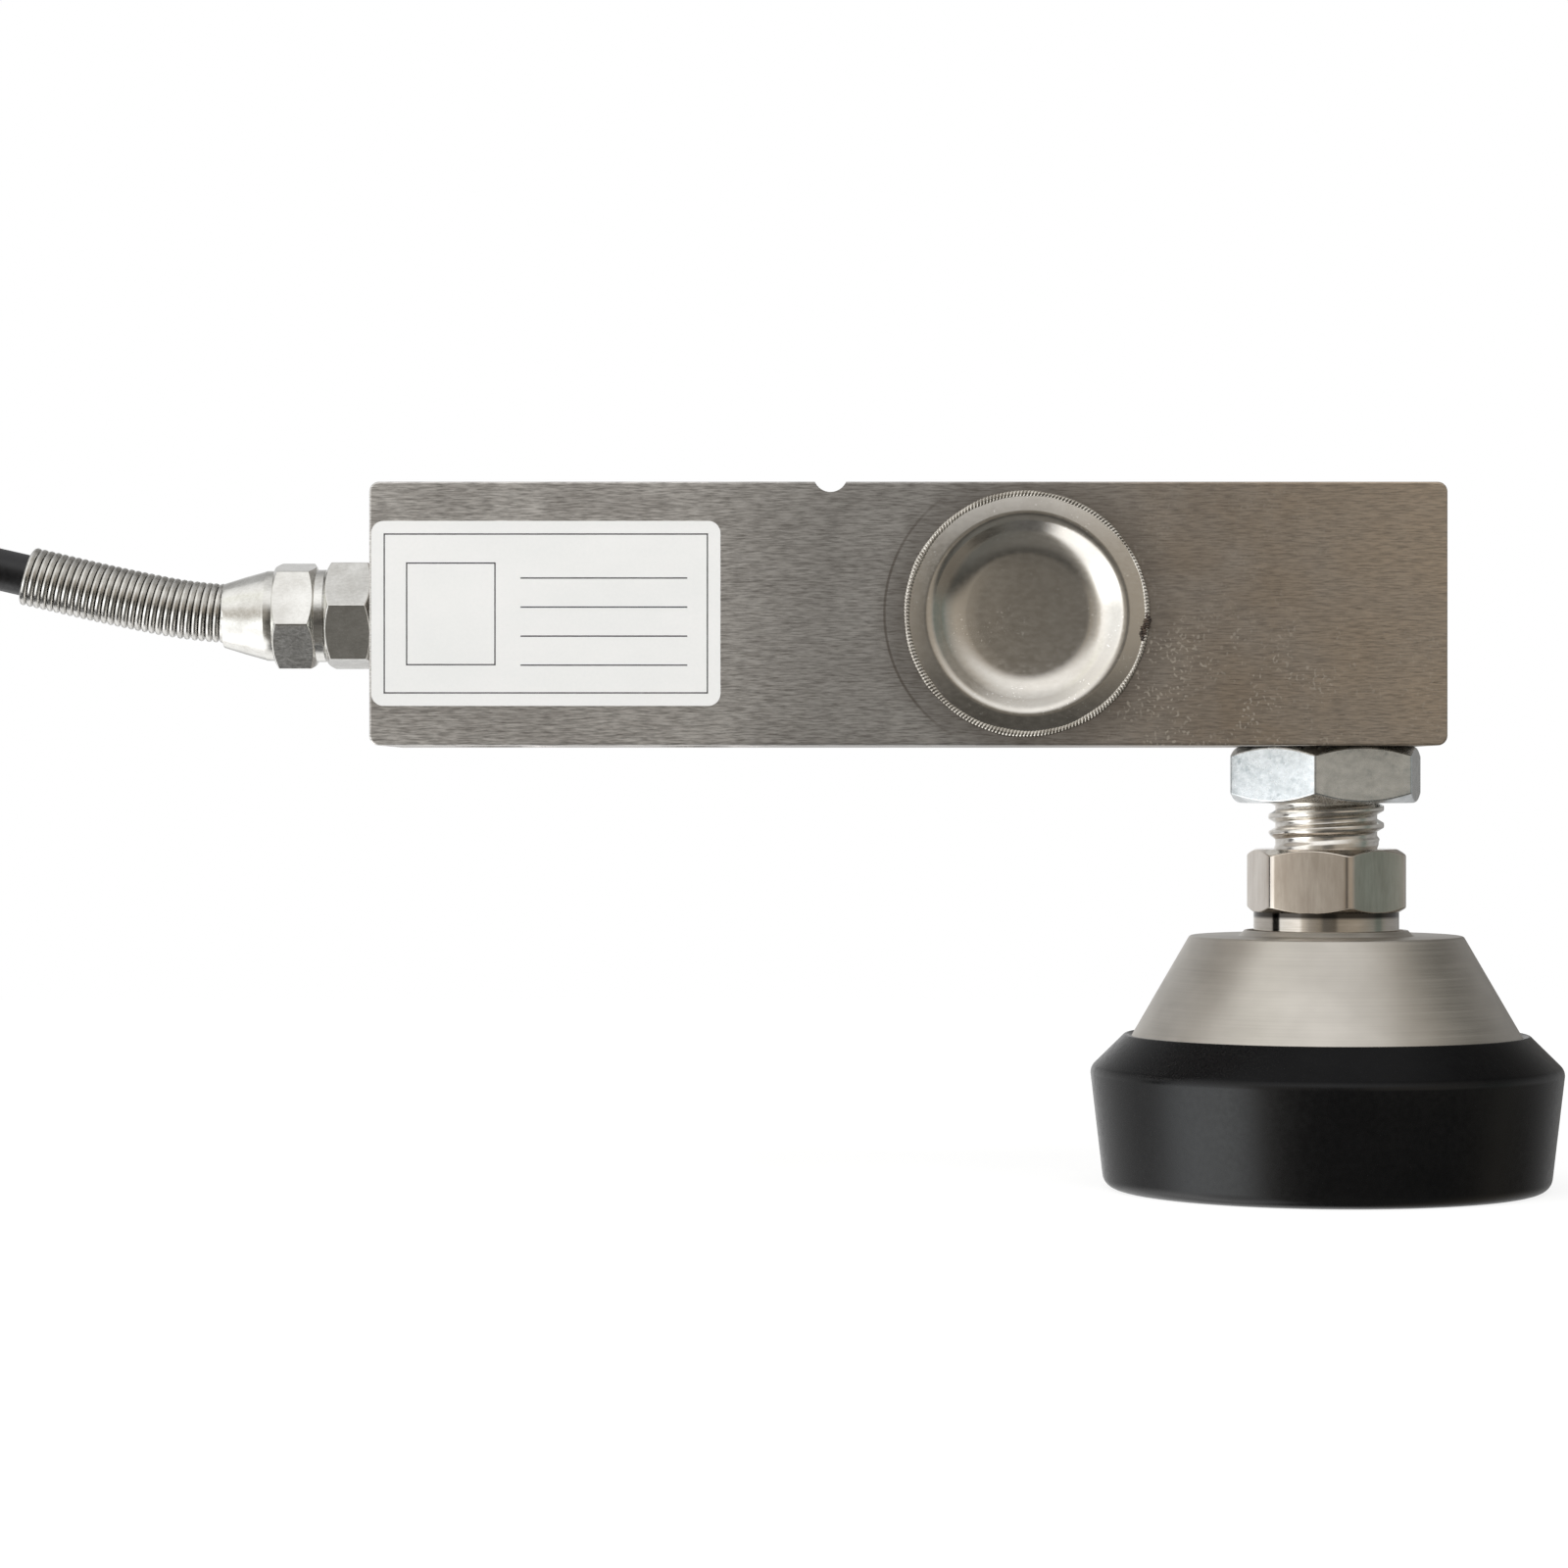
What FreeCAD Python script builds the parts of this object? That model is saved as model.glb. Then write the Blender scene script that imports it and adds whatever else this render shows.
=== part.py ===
import FreeCAD, Part

# Cantilever beam load cell on a levelling foot, in millimetres, +Z up.
# The origin is midway between the two mounting holes, on the beam's top face.
# +X runs to the loaded end, the cable leaves towards -X, and the label faces -Y.

import math
import os

V = FreeCAD.Vector

# Beam: a square bar, with its holes in a row
BEAM_WIDTH = 31.8
BEAM_HEIGHT = 31.8
CABLE_MARGIN = 15.8  # cable end to the first mounting hole
HOLE_SPACING = 25.4  # between the mounting holes
HOLE_TO_LOAD = 76.2  # second mounting hole to the load hole
LOAD_MARGIN = 12.6  # load hole to the loaded end
MOUNT_HOLE_D = 13.0
EDGE_ROUND = 0.25
CORNER_ROUND = 1.2  # the end faces' top and bottom corners
HOLE_BREAK = 0.4
GROOVE_FROM_HOLE = 14.4  # second mounting hole to the cross groove
GROOVE_R = 2.05
GROOVE_DEPTH = 1.25

# Gauge pockets and the cups that seal them
WEB = 5.0
CUP_EDGE = 1.4  # metal left above and below the cup's seat
CUP_SHEET = 0.5
CUP_FLANGE_W = 2.4
CUP_CROWN_DEG = 8.0  # slope of the flange, up from the weld to the lip
CUP_DEPTH = 2.5
CUP_LIP_R = 0.9
CUP_FLOOR_R = 1.4
CUP_WALL_DEG = 42.0
SEAT_FIT = 0.05
GAUGE_L = 11.0
GAUGE_H = 9.0
GAUGE_T = 0.12
BOARD_L = 4.2
BOARD_H = 9.0
BOARD_T = 0.8
BOARD_MARGIN = 2.0  # board's edge to the pocket's wall
RESISTOR_L = 2.0
RESISTOR_W = 1.2
RESISTOR_T = 0.5
LEAD_WIRE_D = 0.3
LINK_HOLE_D = 2.2
LINK_WIRE_D = 0.5

# Wiring duct beside the mounting holes, and the cable's cores in it
DUCT_D = 4.0
DUCT_WALL = 1.9
CORE_D = 0.9
CORE_GAP = 0.05
CORE_SHIFT = 0.7  # duct's axis to the middle of the four cores
CORE_BEND_R = 2.0

# Cable gland, outwards from the beam's end
SHANK_D = 8.0
SHANK_L = 7.0
SHANK_END_GAP = 1.0
O_RING_D = 1.5
GLAND_HEX = 12.0
GLAND_HEX_L = 5.7
GLAND_HEX_TURN = 8.4
SPIGOT_D = 9.6
SPIGOT_L = 5.4
SEAL_L = 2.8
SEAL_WALL = 1.2
GLAND_GAP = 0.2
COLLAR_D = 11.3
COLLAR_L = 1.1
NUT_HEX_L = 5.1
NUT_HEX_TURN = -11.0
LAND_D = 11.2
LAND_L = 1.4
NOSE_L = 4.9
NOSE_D = 8.2
FIT = 0.03  # radial gap of parts that are pressed or screwed together

# Bend spring and cable
CABLE_D = 5.2
SPRING_D = 7.25
SPRING_WIRE = 0.78
SPRING_SEAT = 4.6  # length of the spring inside the nose
SPRING_OUT = 24.8  # length of the spring outside the nose
MOUTH_FLARE = 0.2

# Route of the cable out of the nose: (distance out, height above the gland's axis), and then
# (distance out, height above where it lies on the coil, distance towards +Y)
ROUTE_NEAR = [(-10.0, 0.0), (1.0, 0.0), (12.8, 2.25), (25.3, 5.2)]
ROUTE_FAR = [(46.0, 35.2, -1.5), (66.0, 26.9, -5.0), (77.0, 9.9, -8.5), (94.0, 0.0, -12.0), (112.0, 0.0, -12.25)]

# Coil of the rest of the cable, its tie and its far end
COIL_MID_D = 56.0
COIL_COLUMNS = 2
COIL_LAYERS = 8
COIL_PITCH = 5.3
TIE_T = 0.5
TIE_TURN = 9.0
TIE_AT = 60.0
TAIL_FROM = 200.0
TAIL_TO = 150.0
LEAD_D = 1.2
LEAD_OUT = 2.5  # straight length out of the jacket
LEAD_STEP = -17.0  # degrees round the coil from one point of a lead to the next
LEAD_REACH = [24.0, 26.4, 28.8, 31.2]  # radii that the four leads fan out to
TIP_D = 0.7
TIP_L = 5.0

# Label
LABEL_L = 42.1
LABEL_H = 22.3
LABEL_T = 0.12
LABEL_R = 1.5

# Jam nut and levelling stud, downwards from the beam
THREAD_D = 14.29  # nine sixteenths of an inch
THREAD_FIT = 0.06
JAM_HEX = 22.3
JAM_H = 7.0
JAM_TURN = -13.4
THREAD_SHOWN = 5.7
THREAD_L = 36.0
RELIEF_D = 13.1
RELIEF_L = 1.3
STUD_HEX = 18.0
STUD_HEX_H = 8.0
STUD_TURN = 9.2
NECK_D = 18.0
NECK_L = 2.8
HEX_CHAMFER_DEG = 30.0

# Ball joint in the foot
BALL_D = 22.0
BALL_DEPTH = 7.5  # base's top to the ball's middle
LINER_T = 2.0
BALL_FIT = 0.08
TILT_GAP = 0.75  # room round the neck for the tilt
LIP_H = 0.7
LIP_T = 0.8
RING_FROM = 1.0  # socket ring, heights above the ball's middle
RING_TO = 5.4
SEAT_TOP = -1.0  # ball seat's edge, height above the ball's middle

# Foot base and rubber pad
BASE_TOP_D = 33.8
CONE_DEG = 30.0
CONE_SHOWN = 12.2
BASE_H = 25.0
BASE_RIM_D = 52.0
PAD_TOP_D = 50.0
PAD_RIDGE_D = 58.6
PAD_SLOPE_H = 4.3
PAD_H = 19.2
PAD_FOOT_D = 55.1
PAD_CORNER_R = 1.8

# Places that follow from the sizes
X_CABLE = -CABLE_MARGIN - HOLE_SPACING / 2
X_HOLES = (-HOLE_SPACING / 2, HOLE_SPACING / 2)
X_LOAD = HOLE_SPACING / 2 + HOLE_TO_LOAD
X_END = X_LOAD + LOAD_MARGIN
X_GAUGE = HOLE_SPACING / 2 + HOLE_TO_LOAD / 2
X_GROOVE = HOLE_SPACING / 2 + GROOVE_FROM_HOLE
Z_AXIS = -BEAM_HEIGHT / 2
Y_FACE = BEAM_WIDTH / 2
CUP_D = BEAM_HEIGHT - 2 * CUP_EDGE
CUP_MOUTH_R = CUP_D / 2 - CUP_FLANGE_W
POCKET_R = CUP_MOUTH_R + 2 * SEAT_FIT
Y_WEB = WEB / 2
Y_DUCT = -(MOUNT_HOLE_D + DUCT_D) / 2 - DUCT_WALL
Y_GLAND = Y_DUCT + (SHANK_D - DUCT_D) / 2
Y_CORES = Y_DUCT + CORE_SHIFT
X_BOARD = X_GAUGE - POCKET_R + BOARD_MARGIN + BOARD_L / 2
Z_LINK = BOARD_H / 2 + LINK_HOLE_D / 2 + 1.0
NOSE_AT = GLAND_HEX_L + GLAND_GAP + COLLAR_L + NUT_HEX_L + LAND_L
MOUTH_AT = NOSE_AT + NOSE_L
Z_BEAM = -BEAM_HEIGHT
Z_JAM = Z_BEAM - JAM_H
Z_HEX = Z_JAM - THREAD_SHOWN
Z_NECK = Z_HEX - STUD_HEX_H
Z_BASE = Z_NECK - NECK_L
Z_BALL = Z_BASE - BALL_DEPTH
Z_PAD = Z_BASE - CONE_SHOWN
Z_FLOOR = Z_PAD - PAD_H
BALL_R = BALL_D / 2
LINER_R = BALL_R + BALL_FIT + LINER_T
SOCKET_R = LINER_R + BALL_FIT
COIL_BOTTOM = Z_FLOOR + TIE_T
COIL_H = (COIL_LAYERS - 1) * COIL_PITCH + CABLE_D
COIL_W = (COIL_COLUMNS - 1) * COIL_PITCH + CABLE_D
COIL_OUT_R = (COIL_MID_D + COIL_W) / 2
COIL_IN_R = (COIL_MID_D - COIL_W) / 2
TAIL_R = COIL_IN_R + CABLE_D / 2
Z_COIL_TOP = COIL_BOTTOM + COIL_H
X_COIL = X_CABLE - MOUTH_AT - ROUTE_FAR[-1][0]
Y_COIL = Y_GLAND + ROUTE_FAR[-1][2] + COIL_OUT_R - CABLE_D / 2

# Directions: each turns a piece that is made along +Z
UPRIGHT = FreeCAD.Rotation()
OUT_OF_END = FreeCAD.Rotation(V(0, 1, 0), -90)
INTO_FRONT = FreeCAD.Rotation(V(1, 0, 0), -90)
INTO_REAR = FreeCAD.Rotation(V(1, 0, 0), 90)


def placed(shape, at, turn=UPRIGHT):
    """A copy of a shape that was made along +Z, turned about the origin and moved to its place."""
    moved = shape.copy()
    moved.Placement = FreeCAD.Placement(at, turn).multiply(shape.Placement)
    return moved


def turned(profile):
    """A solid of revolution about Z. Each item is (radius, height), or (middle, end) of an arc."""
    edges = []
    last = V(profile[0][0], 0, profile[0][1])
    for item in profile[1:] + profile[:1]:
        if isinstance(item[0], tuple):
            middle = V(item[0][0], 0, item[0][1])
            end = V(item[1][0], 0, item[1][1])
            edges.append(Part.Arc(last, middle, end).toShape())
        else:
            end = V(item[0], 0, item[1])
            if end.distanceToPoint(last) > 1e-6:
                edges.append(Part.LineSegment(last, end).toShape())
        last = end
    face = Part.Face(Part.Wire(edges))
    return face.revolve(V(0, 0, 0), V(0, 0, 1), 360)


def rod(diameter, low, high):
    """A cylinder on the Z axis between two heights."""
    return Part.makeCylinder(diameter / 2, high - low, V(0, 0, low))


def block(length, width, height, middle):
    """A box about its middle."""
    return Part.makeBox(length, width, height, middle - V(length, width, height) / 2)


def hexagon(across, low, high, turn_deg, chamfered=(True, True)):
    """A hexagon bar with turned chamfers. One corner points turn_deg from -Y towards +X."""
    radius = across / math.sqrt(3)
    corners = []
    for k in range(7):
        a = math.radians(turn_deg + 60 * k)
        corners.append(V(radius * math.sin(a), -radius * math.cos(a), low))
    bar = Part.Face(Part.makePolygon(corners)).extrude(V(0, 0, high - low))
    start = across / 2 * 0.97
    drop = (radius - start) * math.tan(math.radians(HEX_CHAMFER_DEG))
    profile = [(0, low), (radius + 0.1, low), (radius + 0.1, high), (0, high)]
    if chamfered[1]:
        profile[2:3] = [(radius + 0.1, high - drop), (start, high)]
    if chamfered[0]:
        profile[1:2] = [(start, low), (radius + 0.1, low + drop)]
    return bar.common(turned(profile))


def route_radii(points, share=0.45):
    """The radius at each inner point of a route: as large as its two runs allow."""
    radii = []
    for a, b, c in zip(points, points[1:], points[2:]):
        half = (b - a).getAngle(c - b) / 2
        run = min((b - a).Length, (c - b).Length)
        radii.append(share * run / math.tan(half))
    return radii


def bent_path(points, radii):
    """A wire of straight runs joined by tangent arcs."""
    edges = []
    last = points[0]
    for a, b, c, radius in zip(points, points[1:], points[2:], radii):
        back = (a - b).normalize()
        ahead = (c - b).normalize()
        half = (b - a).getAngle(c - b) / 2
        start = b + back * (radius * math.tan(half))
        end = b + ahead * (radius * math.tan(half))
        middle = b + (back + ahead).normalize() * (radius / math.cos(half) - radius)
        edges.append(Part.LineSegment(last, start).toShape())
        edges.append(Part.Arc(start, middle, end).toShape())
        last = end
    edges.append(Part.LineSegment(last, points[-1]).toShape())
    return Part.Wire(edges)


def tube(points, diameter, radii=None):
    """A round bar along a route. Fails if its volume isn't its section times its length."""
    path = bent_path(points, radii or route_radii(points))
    section = Part.Circle(points[0], points[1] - points[0], diameter / 2).toShape()
    solid = path.makePipeShell([Part.Wire([section])], True, False)
    expected = path.Length * math.pi * diameter**2 / 4
    if abs(solid.Volume / expected - 1) > 0.01:
        raise ValueError(f"tube of {solid.Volume:.1f} mm3, expected {expected:.1f} mm3")
    return solid


def cable_route():
    """The cable's points, from inside the gland to where it lies on the coil."""
    x_mouth = X_CABLE - MOUTH_AT
    lie = Z_COIL_TOP + CABLE_D / 2
    near = [V(x_mouth - out, Y_GLAND, Z_AXIS + up) for out, up in ROUTE_NEAR]
    return near + [V(x_mouth - out, Y_GLAND + side, lie + up) for out, up, side in ROUTE_FAR]


def beam_blank():
    """The bar with its long edges and ends rounded off."""
    length = X_END - X_CABLE
    middle = V((X_CABLE + X_END) / 2, 0, Z_AXIS)
    bar = block(length, BEAM_WIDTH, BEAM_HEIGHT, middle)
    across = [e for e in bar.Edges if abs(e.tangentAt(e.FirstParameter).y) > 0.9]
    bar = bar.makeFillet(CORNER_ROUND, across)
    rims = [e for e in bar.Edges if abs(e.tangentAt(e.FirstParameter).y) < 0.1]
    return bar.makeFillet(EDGE_ROUND, rims)


def drilled(diameter, top_break, bottom_break):
    """A through hole's tool along Z, with its edges broken at both faces of the beam."""
    r = diameter / 2
    profile = [(0, 1), (r + top_break + 1, 1), (r, -top_break)]
    profile += [(r, Z_BEAM + bottom_break), (r + bottom_break + 1, Z_BEAM - 1), (0, Z_BEAM - 1)]
    return turned(profile)


def pocket_tool():
    """A gauge pocket's tool, made along +Z from the face: the cup's seat, then the pocket."""
    depth = Y_FACE - Y_WEB
    seat = rod(CUP_D + 2 * SEAT_FIT, -1, CUP_SHEET)
    return seat.fuse(rod(2 * POCKET_R, -1, depth))


def gland_hole_tool():
    """The gland's hole in the beam's end, made along +Z out of the end."""
    r = SHANK_D / 2 + FIT
    seat_r = SHANK_D / 2 + O_RING_D
    bottom = -SHANK_L - SHANK_END_GAP
    return turned([(0, bottom), (r, bottom), (r, -O_RING_D), (seat_r, -O_RING_D), (seat_r, 1), (0, 1)])


def beam_body():
    """The beam with all its holes."""
    beam = beam_blank()
    for x in X_HOLES:
        beam = beam.cut(placed(drilled(MOUNT_HOLE_D, HOLE_BREAK, HOLE_BREAK), V(x, 0, 0)))
    load_d = THREAD_D + 2 * THREAD_FIT
    beam = beam.cut(placed(drilled(load_d, HOLE_BREAK, HOLE_BREAK), V(X_LOAD, 0, 0)))
    beam = beam.cut(placed(pocket_tool(), V(X_GAUGE, -Y_FACE, Z_AXIS), INTO_FRONT))
    beam = beam.cut(placed(pocket_tool(), V(X_GAUGE, Y_FACE, Z_AXIS), INTO_REAR))
    link = Part.makeCylinder(LINK_HOLE_D / 2, 2 * WEB, V(X_BOARD, -WEB, Z_AXIS + Z_LINK), V(0, 1, 0))
    beam = beam.cut(link)
    groove = Part.makeCylinder(
        GROOVE_R, 2 * BEAM_WIDTH, V(X_GROOVE, -BEAM_WIDTH, GROOVE_R - GROOVE_DEPTH), V(0, 1, 0)
    )
    beam = beam.cut(groove)
    beam = beam.cut(placed(gland_hole_tool(), V(X_CABLE, Y_GLAND, Z_AXIS), OUT_OF_END))
    start = V(X_CABLE + SHANK_L, Y_DUCT, Z_AXIS)
    return beam.cut(Part.makeCylinder(DUCT_D / 2, X_GAUGE - start.x, start, V(1, 0, 0)))


def seal_cup():
    """A pressed cup, made along +Z into the beam: crowned flange, rounded lip, sloping wall, flat floor."""
    a, crown = math.radians(CUP_WALL_DEG), math.radians(CUP_CROWN_DEG)
    sin_a, cos_a = math.sin(a), math.cos(a)
    rise = (CUP_D / 2 - CUP_MOUTH_R - CUP_LIP_R * math.sin(crown)) * math.tan(crown)
    lip = (CUP_MOUTH_R, CUP_LIP_R * math.cos(crown) - rise)
    wall_r = lip[0] - CUP_LIP_R * sin_a
    wall_z = lip[1] - CUP_LIP_R * cos_a
    dish_z = CUP_DEPTH - CUP_FLOOR_R
    tangent_z = dish_z + CUP_FLOOR_R * cos_a
    tangent_r = wall_r - (tangent_z - wall_z) * cos_a / sin_a
    dish = (tangent_r - CUP_FLOOR_R * sin_a, dish_z)

    def on(centre, radius, angle):
        return (centre[0] + radius * math.sin(angle), centre[1] + radius * math.cos(angle))

    def skin(lip_r, dish_r):
        """The points of one face, from the lip's start to the floor, lip_r and dish_r being its radii."""
        start = on(lip, lip_r, math.pi - crown)
        lip_arc = (on(lip, lip_r, math.pi + (a - crown) / 2), on(lip, lip_r, math.pi + a))
        wall = on(dish, dish_r, a)
        dish_arc = (on(dish, dish_r, a / 2), on(dish, dish_r, 0))
        return start, lip_arc, wall, dish_arc

    start, lip_arc, wall, dish_arc = skin(CUP_LIP_R, CUP_FLOOR_R)
    profile = [(CUP_D / 2, 0), start, lip_arc, wall, dish_arc, (0, CUP_DEPTH)]
    start, lip_arc, wall, dish_arc = skin(CUP_LIP_R - CUP_SHEET, CUP_FLOOR_R + CUP_SHEET)
    profile += [(0, CUP_DEPTH + CUP_SHEET), dish_arc[1], (dish_arc[0], wall), lip_arc[1]]
    profile += [(lip_arc[0], start), (CUP_D / 2, CUP_SHEET)]
    return turned(profile)


def on_web(length, height, thick, x, side, lift=0.0):
    """A flat piece on the web, in the front pocket (side -1) or the rear one (side 1)."""
    return block(length, thick, height, V(x, side * (Y_WEB + lift + thick / 2), Z_AXIS))


def gauge_x():
    """The middle of a gauge, beside the board."""
    return X_BOARD + BOARD_L / 2 + 1.2 + GAUGE_L / 2


def gauge_leads(side):
    """Three fine wires from a gauge's tabs to the board beside it."""
    wires = []
    start = X_BOARD + BOARD_L / 2
    end = gauge_x() - GAUGE_L / 2
    for dz in (-2.5, 0.0, 2.5):
        at = V(start, side * (Y_WEB + LEAD_WIRE_D / 2), Z_AXIS + dz)
        wires.append(Part.makeCylinder(LEAD_WIRE_D / 2, end - start, at, V(1, 0, 0)))
    return Part.makeCompound(wires)


def trim_resistors():
    """Chip resistors on the board, above and below where the cores land."""
    chips = []
    for dz in (-BOARD_H / 3, BOARD_H / 3):
        at = V(X_BOARD, -(Y_WEB + BOARD_T + RESISTOR_T / 2), Z_AXIS + dz)
        chips.append(block(RESISTOR_L, RESISTOR_T, RESISTOR_W, at))
    return Part.makeCompound(chips)


def link_wires():
    """Wires from the front board through the web to the rear strip."""
    wires = []
    lift = Y_WEB + LINK_WIRE_D / 2 + 0.1
    edge = Z_AXIS + BOARD_H / 2
    top = Z_AXIS + Z_LINK
    for dx in (-0.5, 0.0, 0.5):
        x = X_BOARD + 1.2 * dx
        points = [V(x, -lift, edge), V(x, -lift, top), V(x, lift, top), V(x, lift, edge)]
        wires.append(tube(points, LINK_WIRE_D, [0.8, 0.8]))
    return Part.makeCompound(wires)


def core(row, layer):
    """A core of the cable, from the gland's shank along the duct and down to the board."""
    step = (CORE_D + CORE_GAP) / 2
    y = Y_CORES + layer * step
    z = Z_AXIS + row * step
    x = X_BOARD - layer * BOARD_L / 4
    start = V(X_CABLE + SHANK_L, y, z)
    bend = V(x, y, z)
    return tube([start, bend, V(x, -(Y_WEB + BOARD_T), z)], CORE_D, [CORE_BEND_R])


def gland_body():
    """The gland's body: shank in the beam, hexagon against it, and a spigot that holds the seal."""
    bore = CABLE_D / 2 + FIT
    end = GLAND_HEX_L + SPIGOT_L
    shank = turned([(bore, -SHANK_L), (SHANK_D / 2, -SHANK_L), (SHANK_D / 2, 0), (bore, 0)])
    grip = hexagon(GLAND_HEX, 0, GLAND_HEX_L, GLAND_HEX_TURN).cut(rod(2 * bore, -1, GLAND_HEX_L + 1))
    cup_r = CABLE_D / 2 + SEAL_WALL + FIT
    spigot_r = SPIGOT_D / 2
    floor = end - SEAL_L
    spigot = turned(
        [(bore, GLAND_HEX_L), (spigot_r, GLAND_HEX_L), (spigot_r, end), (cup_r, end), (cup_r, floor), (bore, floor)]
    )
    return shank.fuse(grip).fuse(spigot).removeSplitter()


def gland_o_ring():
    """The O-ring round the shank, in its seat in the beam's end."""
    section = O_RING_D / 2 - FIT
    return placed(Part.makeTorus(SHANK_D / 2 + O_RING_D / 2, section), V(0, 0, -O_RING_D / 2))


def gland_seal():
    """The rubber sleeve that the nut squeezes round the cable."""
    end = GLAND_HEX_L + SPIGOT_L
    inner = CABLE_D + 2 * FIT
    return rod(inner + 2 * SEAL_WALL - 2 * FIT, end - SEAL_L, end).cut(rod(inner, 0, 2 * end))


def gland_nut():
    """The gland's nut: collar, hexagon, land and a conical nose that takes the spring."""
    start = GLAND_HEX_L + GLAND_GAP
    hex_at = start + COLLAR_L
    land_at = hex_at + NUT_HEX_L
    collar = rod(COLLAR_D, start, hex_at)
    grip = hexagon(GLAND_HEX, hex_at, land_at, NUT_HEX_TURN)
    nose = turned(
        [(0, land_at), (LAND_D / 2, land_at), (LAND_D / 2, NOSE_AT), (NOSE_D / 2, MOUTH_AT), (0, MOUTH_AT)]
    )
    thread_r = SPIGOT_D / 2 + FIT
    thread_end = GLAND_HEX_L + SPIGOT_L + FIT
    seat = MOUTH_AT - SPRING_SEAT
    spring_r = SPRING_D / 2 + FIT
    bore_r = CABLE_D / 2 + 2 * FIT
    bore = turned(
        [(0, start - 1), (thread_r, start - 1), (thread_r, thread_end), (bore_r, thread_end), (bore_r, seat),
         (spring_r, seat), (spring_r + MOUTH_FLARE, MOUTH_AT), (spring_r + MOUTH_FLARE, MOUTH_AT + 1),
         (0, MOUTH_AT + 1)]
    )
    return collar.fuse(grip).fuse(nose).cut(bore).removeSplitter()


def bend_spring():
    """The close-wound spring as the sleeve that its turns fill, along the cable."""
    route = cable_route()
    radii = route_radii(route)[:2]
    x_mouth = X_CABLE - MOUTH_AT
    first = V(x_mouth + SPRING_SEAT, Y_GLAND, Z_AXIS)
    along = (route[3] - route[2]).normalize()
    last = route[2] + along * ((SPRING_OUT - ROUTE_NEAR[2][0]) / abs(along.x))
    points = [first, route[1], route[2], last]
    return tube(points, SPRING_D, radii).cut(tube(points, SPRING_D - 2 * SPRING_WIRE, radii))


def cable_run():
    """The cable from inside the gland, through the spring, down onto the coil."""
    route = cable_route()
    radii = route_radii(route)
    print("cable radii, mm:", [round(r, 1) for r in radii])
    start = X_CABLE + SHANK_L
    inside = Part.makeCylinder(CABLE_D / 2, start - route[0].x, route[0], V(1, 0, 0))
    return inside.fuse(tube(route, CABLE_D, radii)).removeSplitter()


def coil_section(grow, round_r):
    """The coil's rounded section as a turned ring, grown on all sides."""
    low, high = COIL_BOTTOM - grow, Z_COIL_TOP + grow
    inner, outer = COIL_IN_R - grow, COIL_OUT_R + grow
    ring = turned([(inner, low), (outer, low), (outer, high), (inner, high)])
    return ring.makeFillet(round_r, ring.Edges)


def cable_coil():
    """The outer shape of the coil's turns."""
    return placed(coil_section(0, CABLE_D / 2), V(X_COIL, Y_COIL, 0))


def coil_tie():
    """A flat tie round the coil's turns at one place."""
    band = coil_section(TIE_T, CABLE_D / 2 + TIE_T).cut(coil_section(0, CABLE_D / 2))
    reach = 2 * COIL_OUT_R
    half = reach * math.tan(math.radians(TIE_TURN / 2))
    low, high = COIL_BOTTOM - reach, Z_COIL_TOP + reach
    corners = [V(0, 0, low), V(reach, -half, low), V(reach, half, low), V(0, 0, low)]
    wedge = Part.Face(Part.makePolygon(corners)).extrude(V(0, 0, high - low))
    wedge = placed(wedge, V(0, 0, 0), FreeCAD.Rotation(V(0, 0, 1), TIE_AT))
    return placed(band.common(wedge), V(X_COIL, Y_COIL, 0))


def on_coil(radius, angle_deg, z):
    """A point on a circle about the coil's axis."""
    a = math.radians(angle_deg)
    return V(X_COIL + radius * math.cos(a), Y_COIL + radius * math.sin(a), z)


def cable_tail():
    """The cable's last stretch, lying on the coil."""
    z = Z_COIL_TOP + CABLE_D / 2
    middle = (TAIL_FROM + TAIL_TO) / 2
    arc = Part.Arc(
        on_coil(TAIL_R, TAIL_FROM, z), on_coil(TAIL_R, middle, z), on_coil(TAIL_R, TAIL_TO, z)
    ).toShape()
    start = arc.valueAt(arc.FirstParameter)
    section = Part.Circle(start, arc.tangentAt(arc.FirstParameter), CABLE_D / 2).toShape()
    return Part.Wire([arc]).makePipeShell([Part.Wire([section])], True, False)


def lead_route(k):
    """A stripped lead's points: straight out of the jacket, down on the coil, then fanning out."""
    step = LEAD_D * 0.6
    r = TAIL_R + (step if k in (2, 3) else -step)
    z = Z_COIL_TOP + CABLE_D / 2 + (step if k in (1, 2) else -step)
    low = Z_COIL_TOP + LEAD_D / 2
    reach = LEAD_REACH[k]
    a = math.radians(TAIL_TO)
    start = on_coil(r, TAIL_TO, z)
    return [
        start,
        start + V(math.sin(a), -math.cos(a), 0) * LEAD_OUT,
        on_coil(r + (reach - r) * 0.4, TAIL_TO + LEAD_STEP, z * 0.6 + low * 0.4),
        on_coil(r + (reach - r) * 0.75, TAIL_TO + 2 * LEAD_STEP, low),
        on_coil(reach, TAIL_TO + 3 * LEAD_STEP, low),
    ]


def lead(k):
    """A stripped lead's insulated length."""
    return tube(lead_route(k), LEAD_D)


def lead_tips():
    """The bare ends of the four leads."""
    tips = []
    for k in range(4):
        points = lead_route(k)
        along = (points[-1] - points[-2]).normalize()
        tips.append(Part.makeCylinder(TIP_D / 2, TIP_L, points[-1], along))
    return Part.makeCompound(tips)


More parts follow.
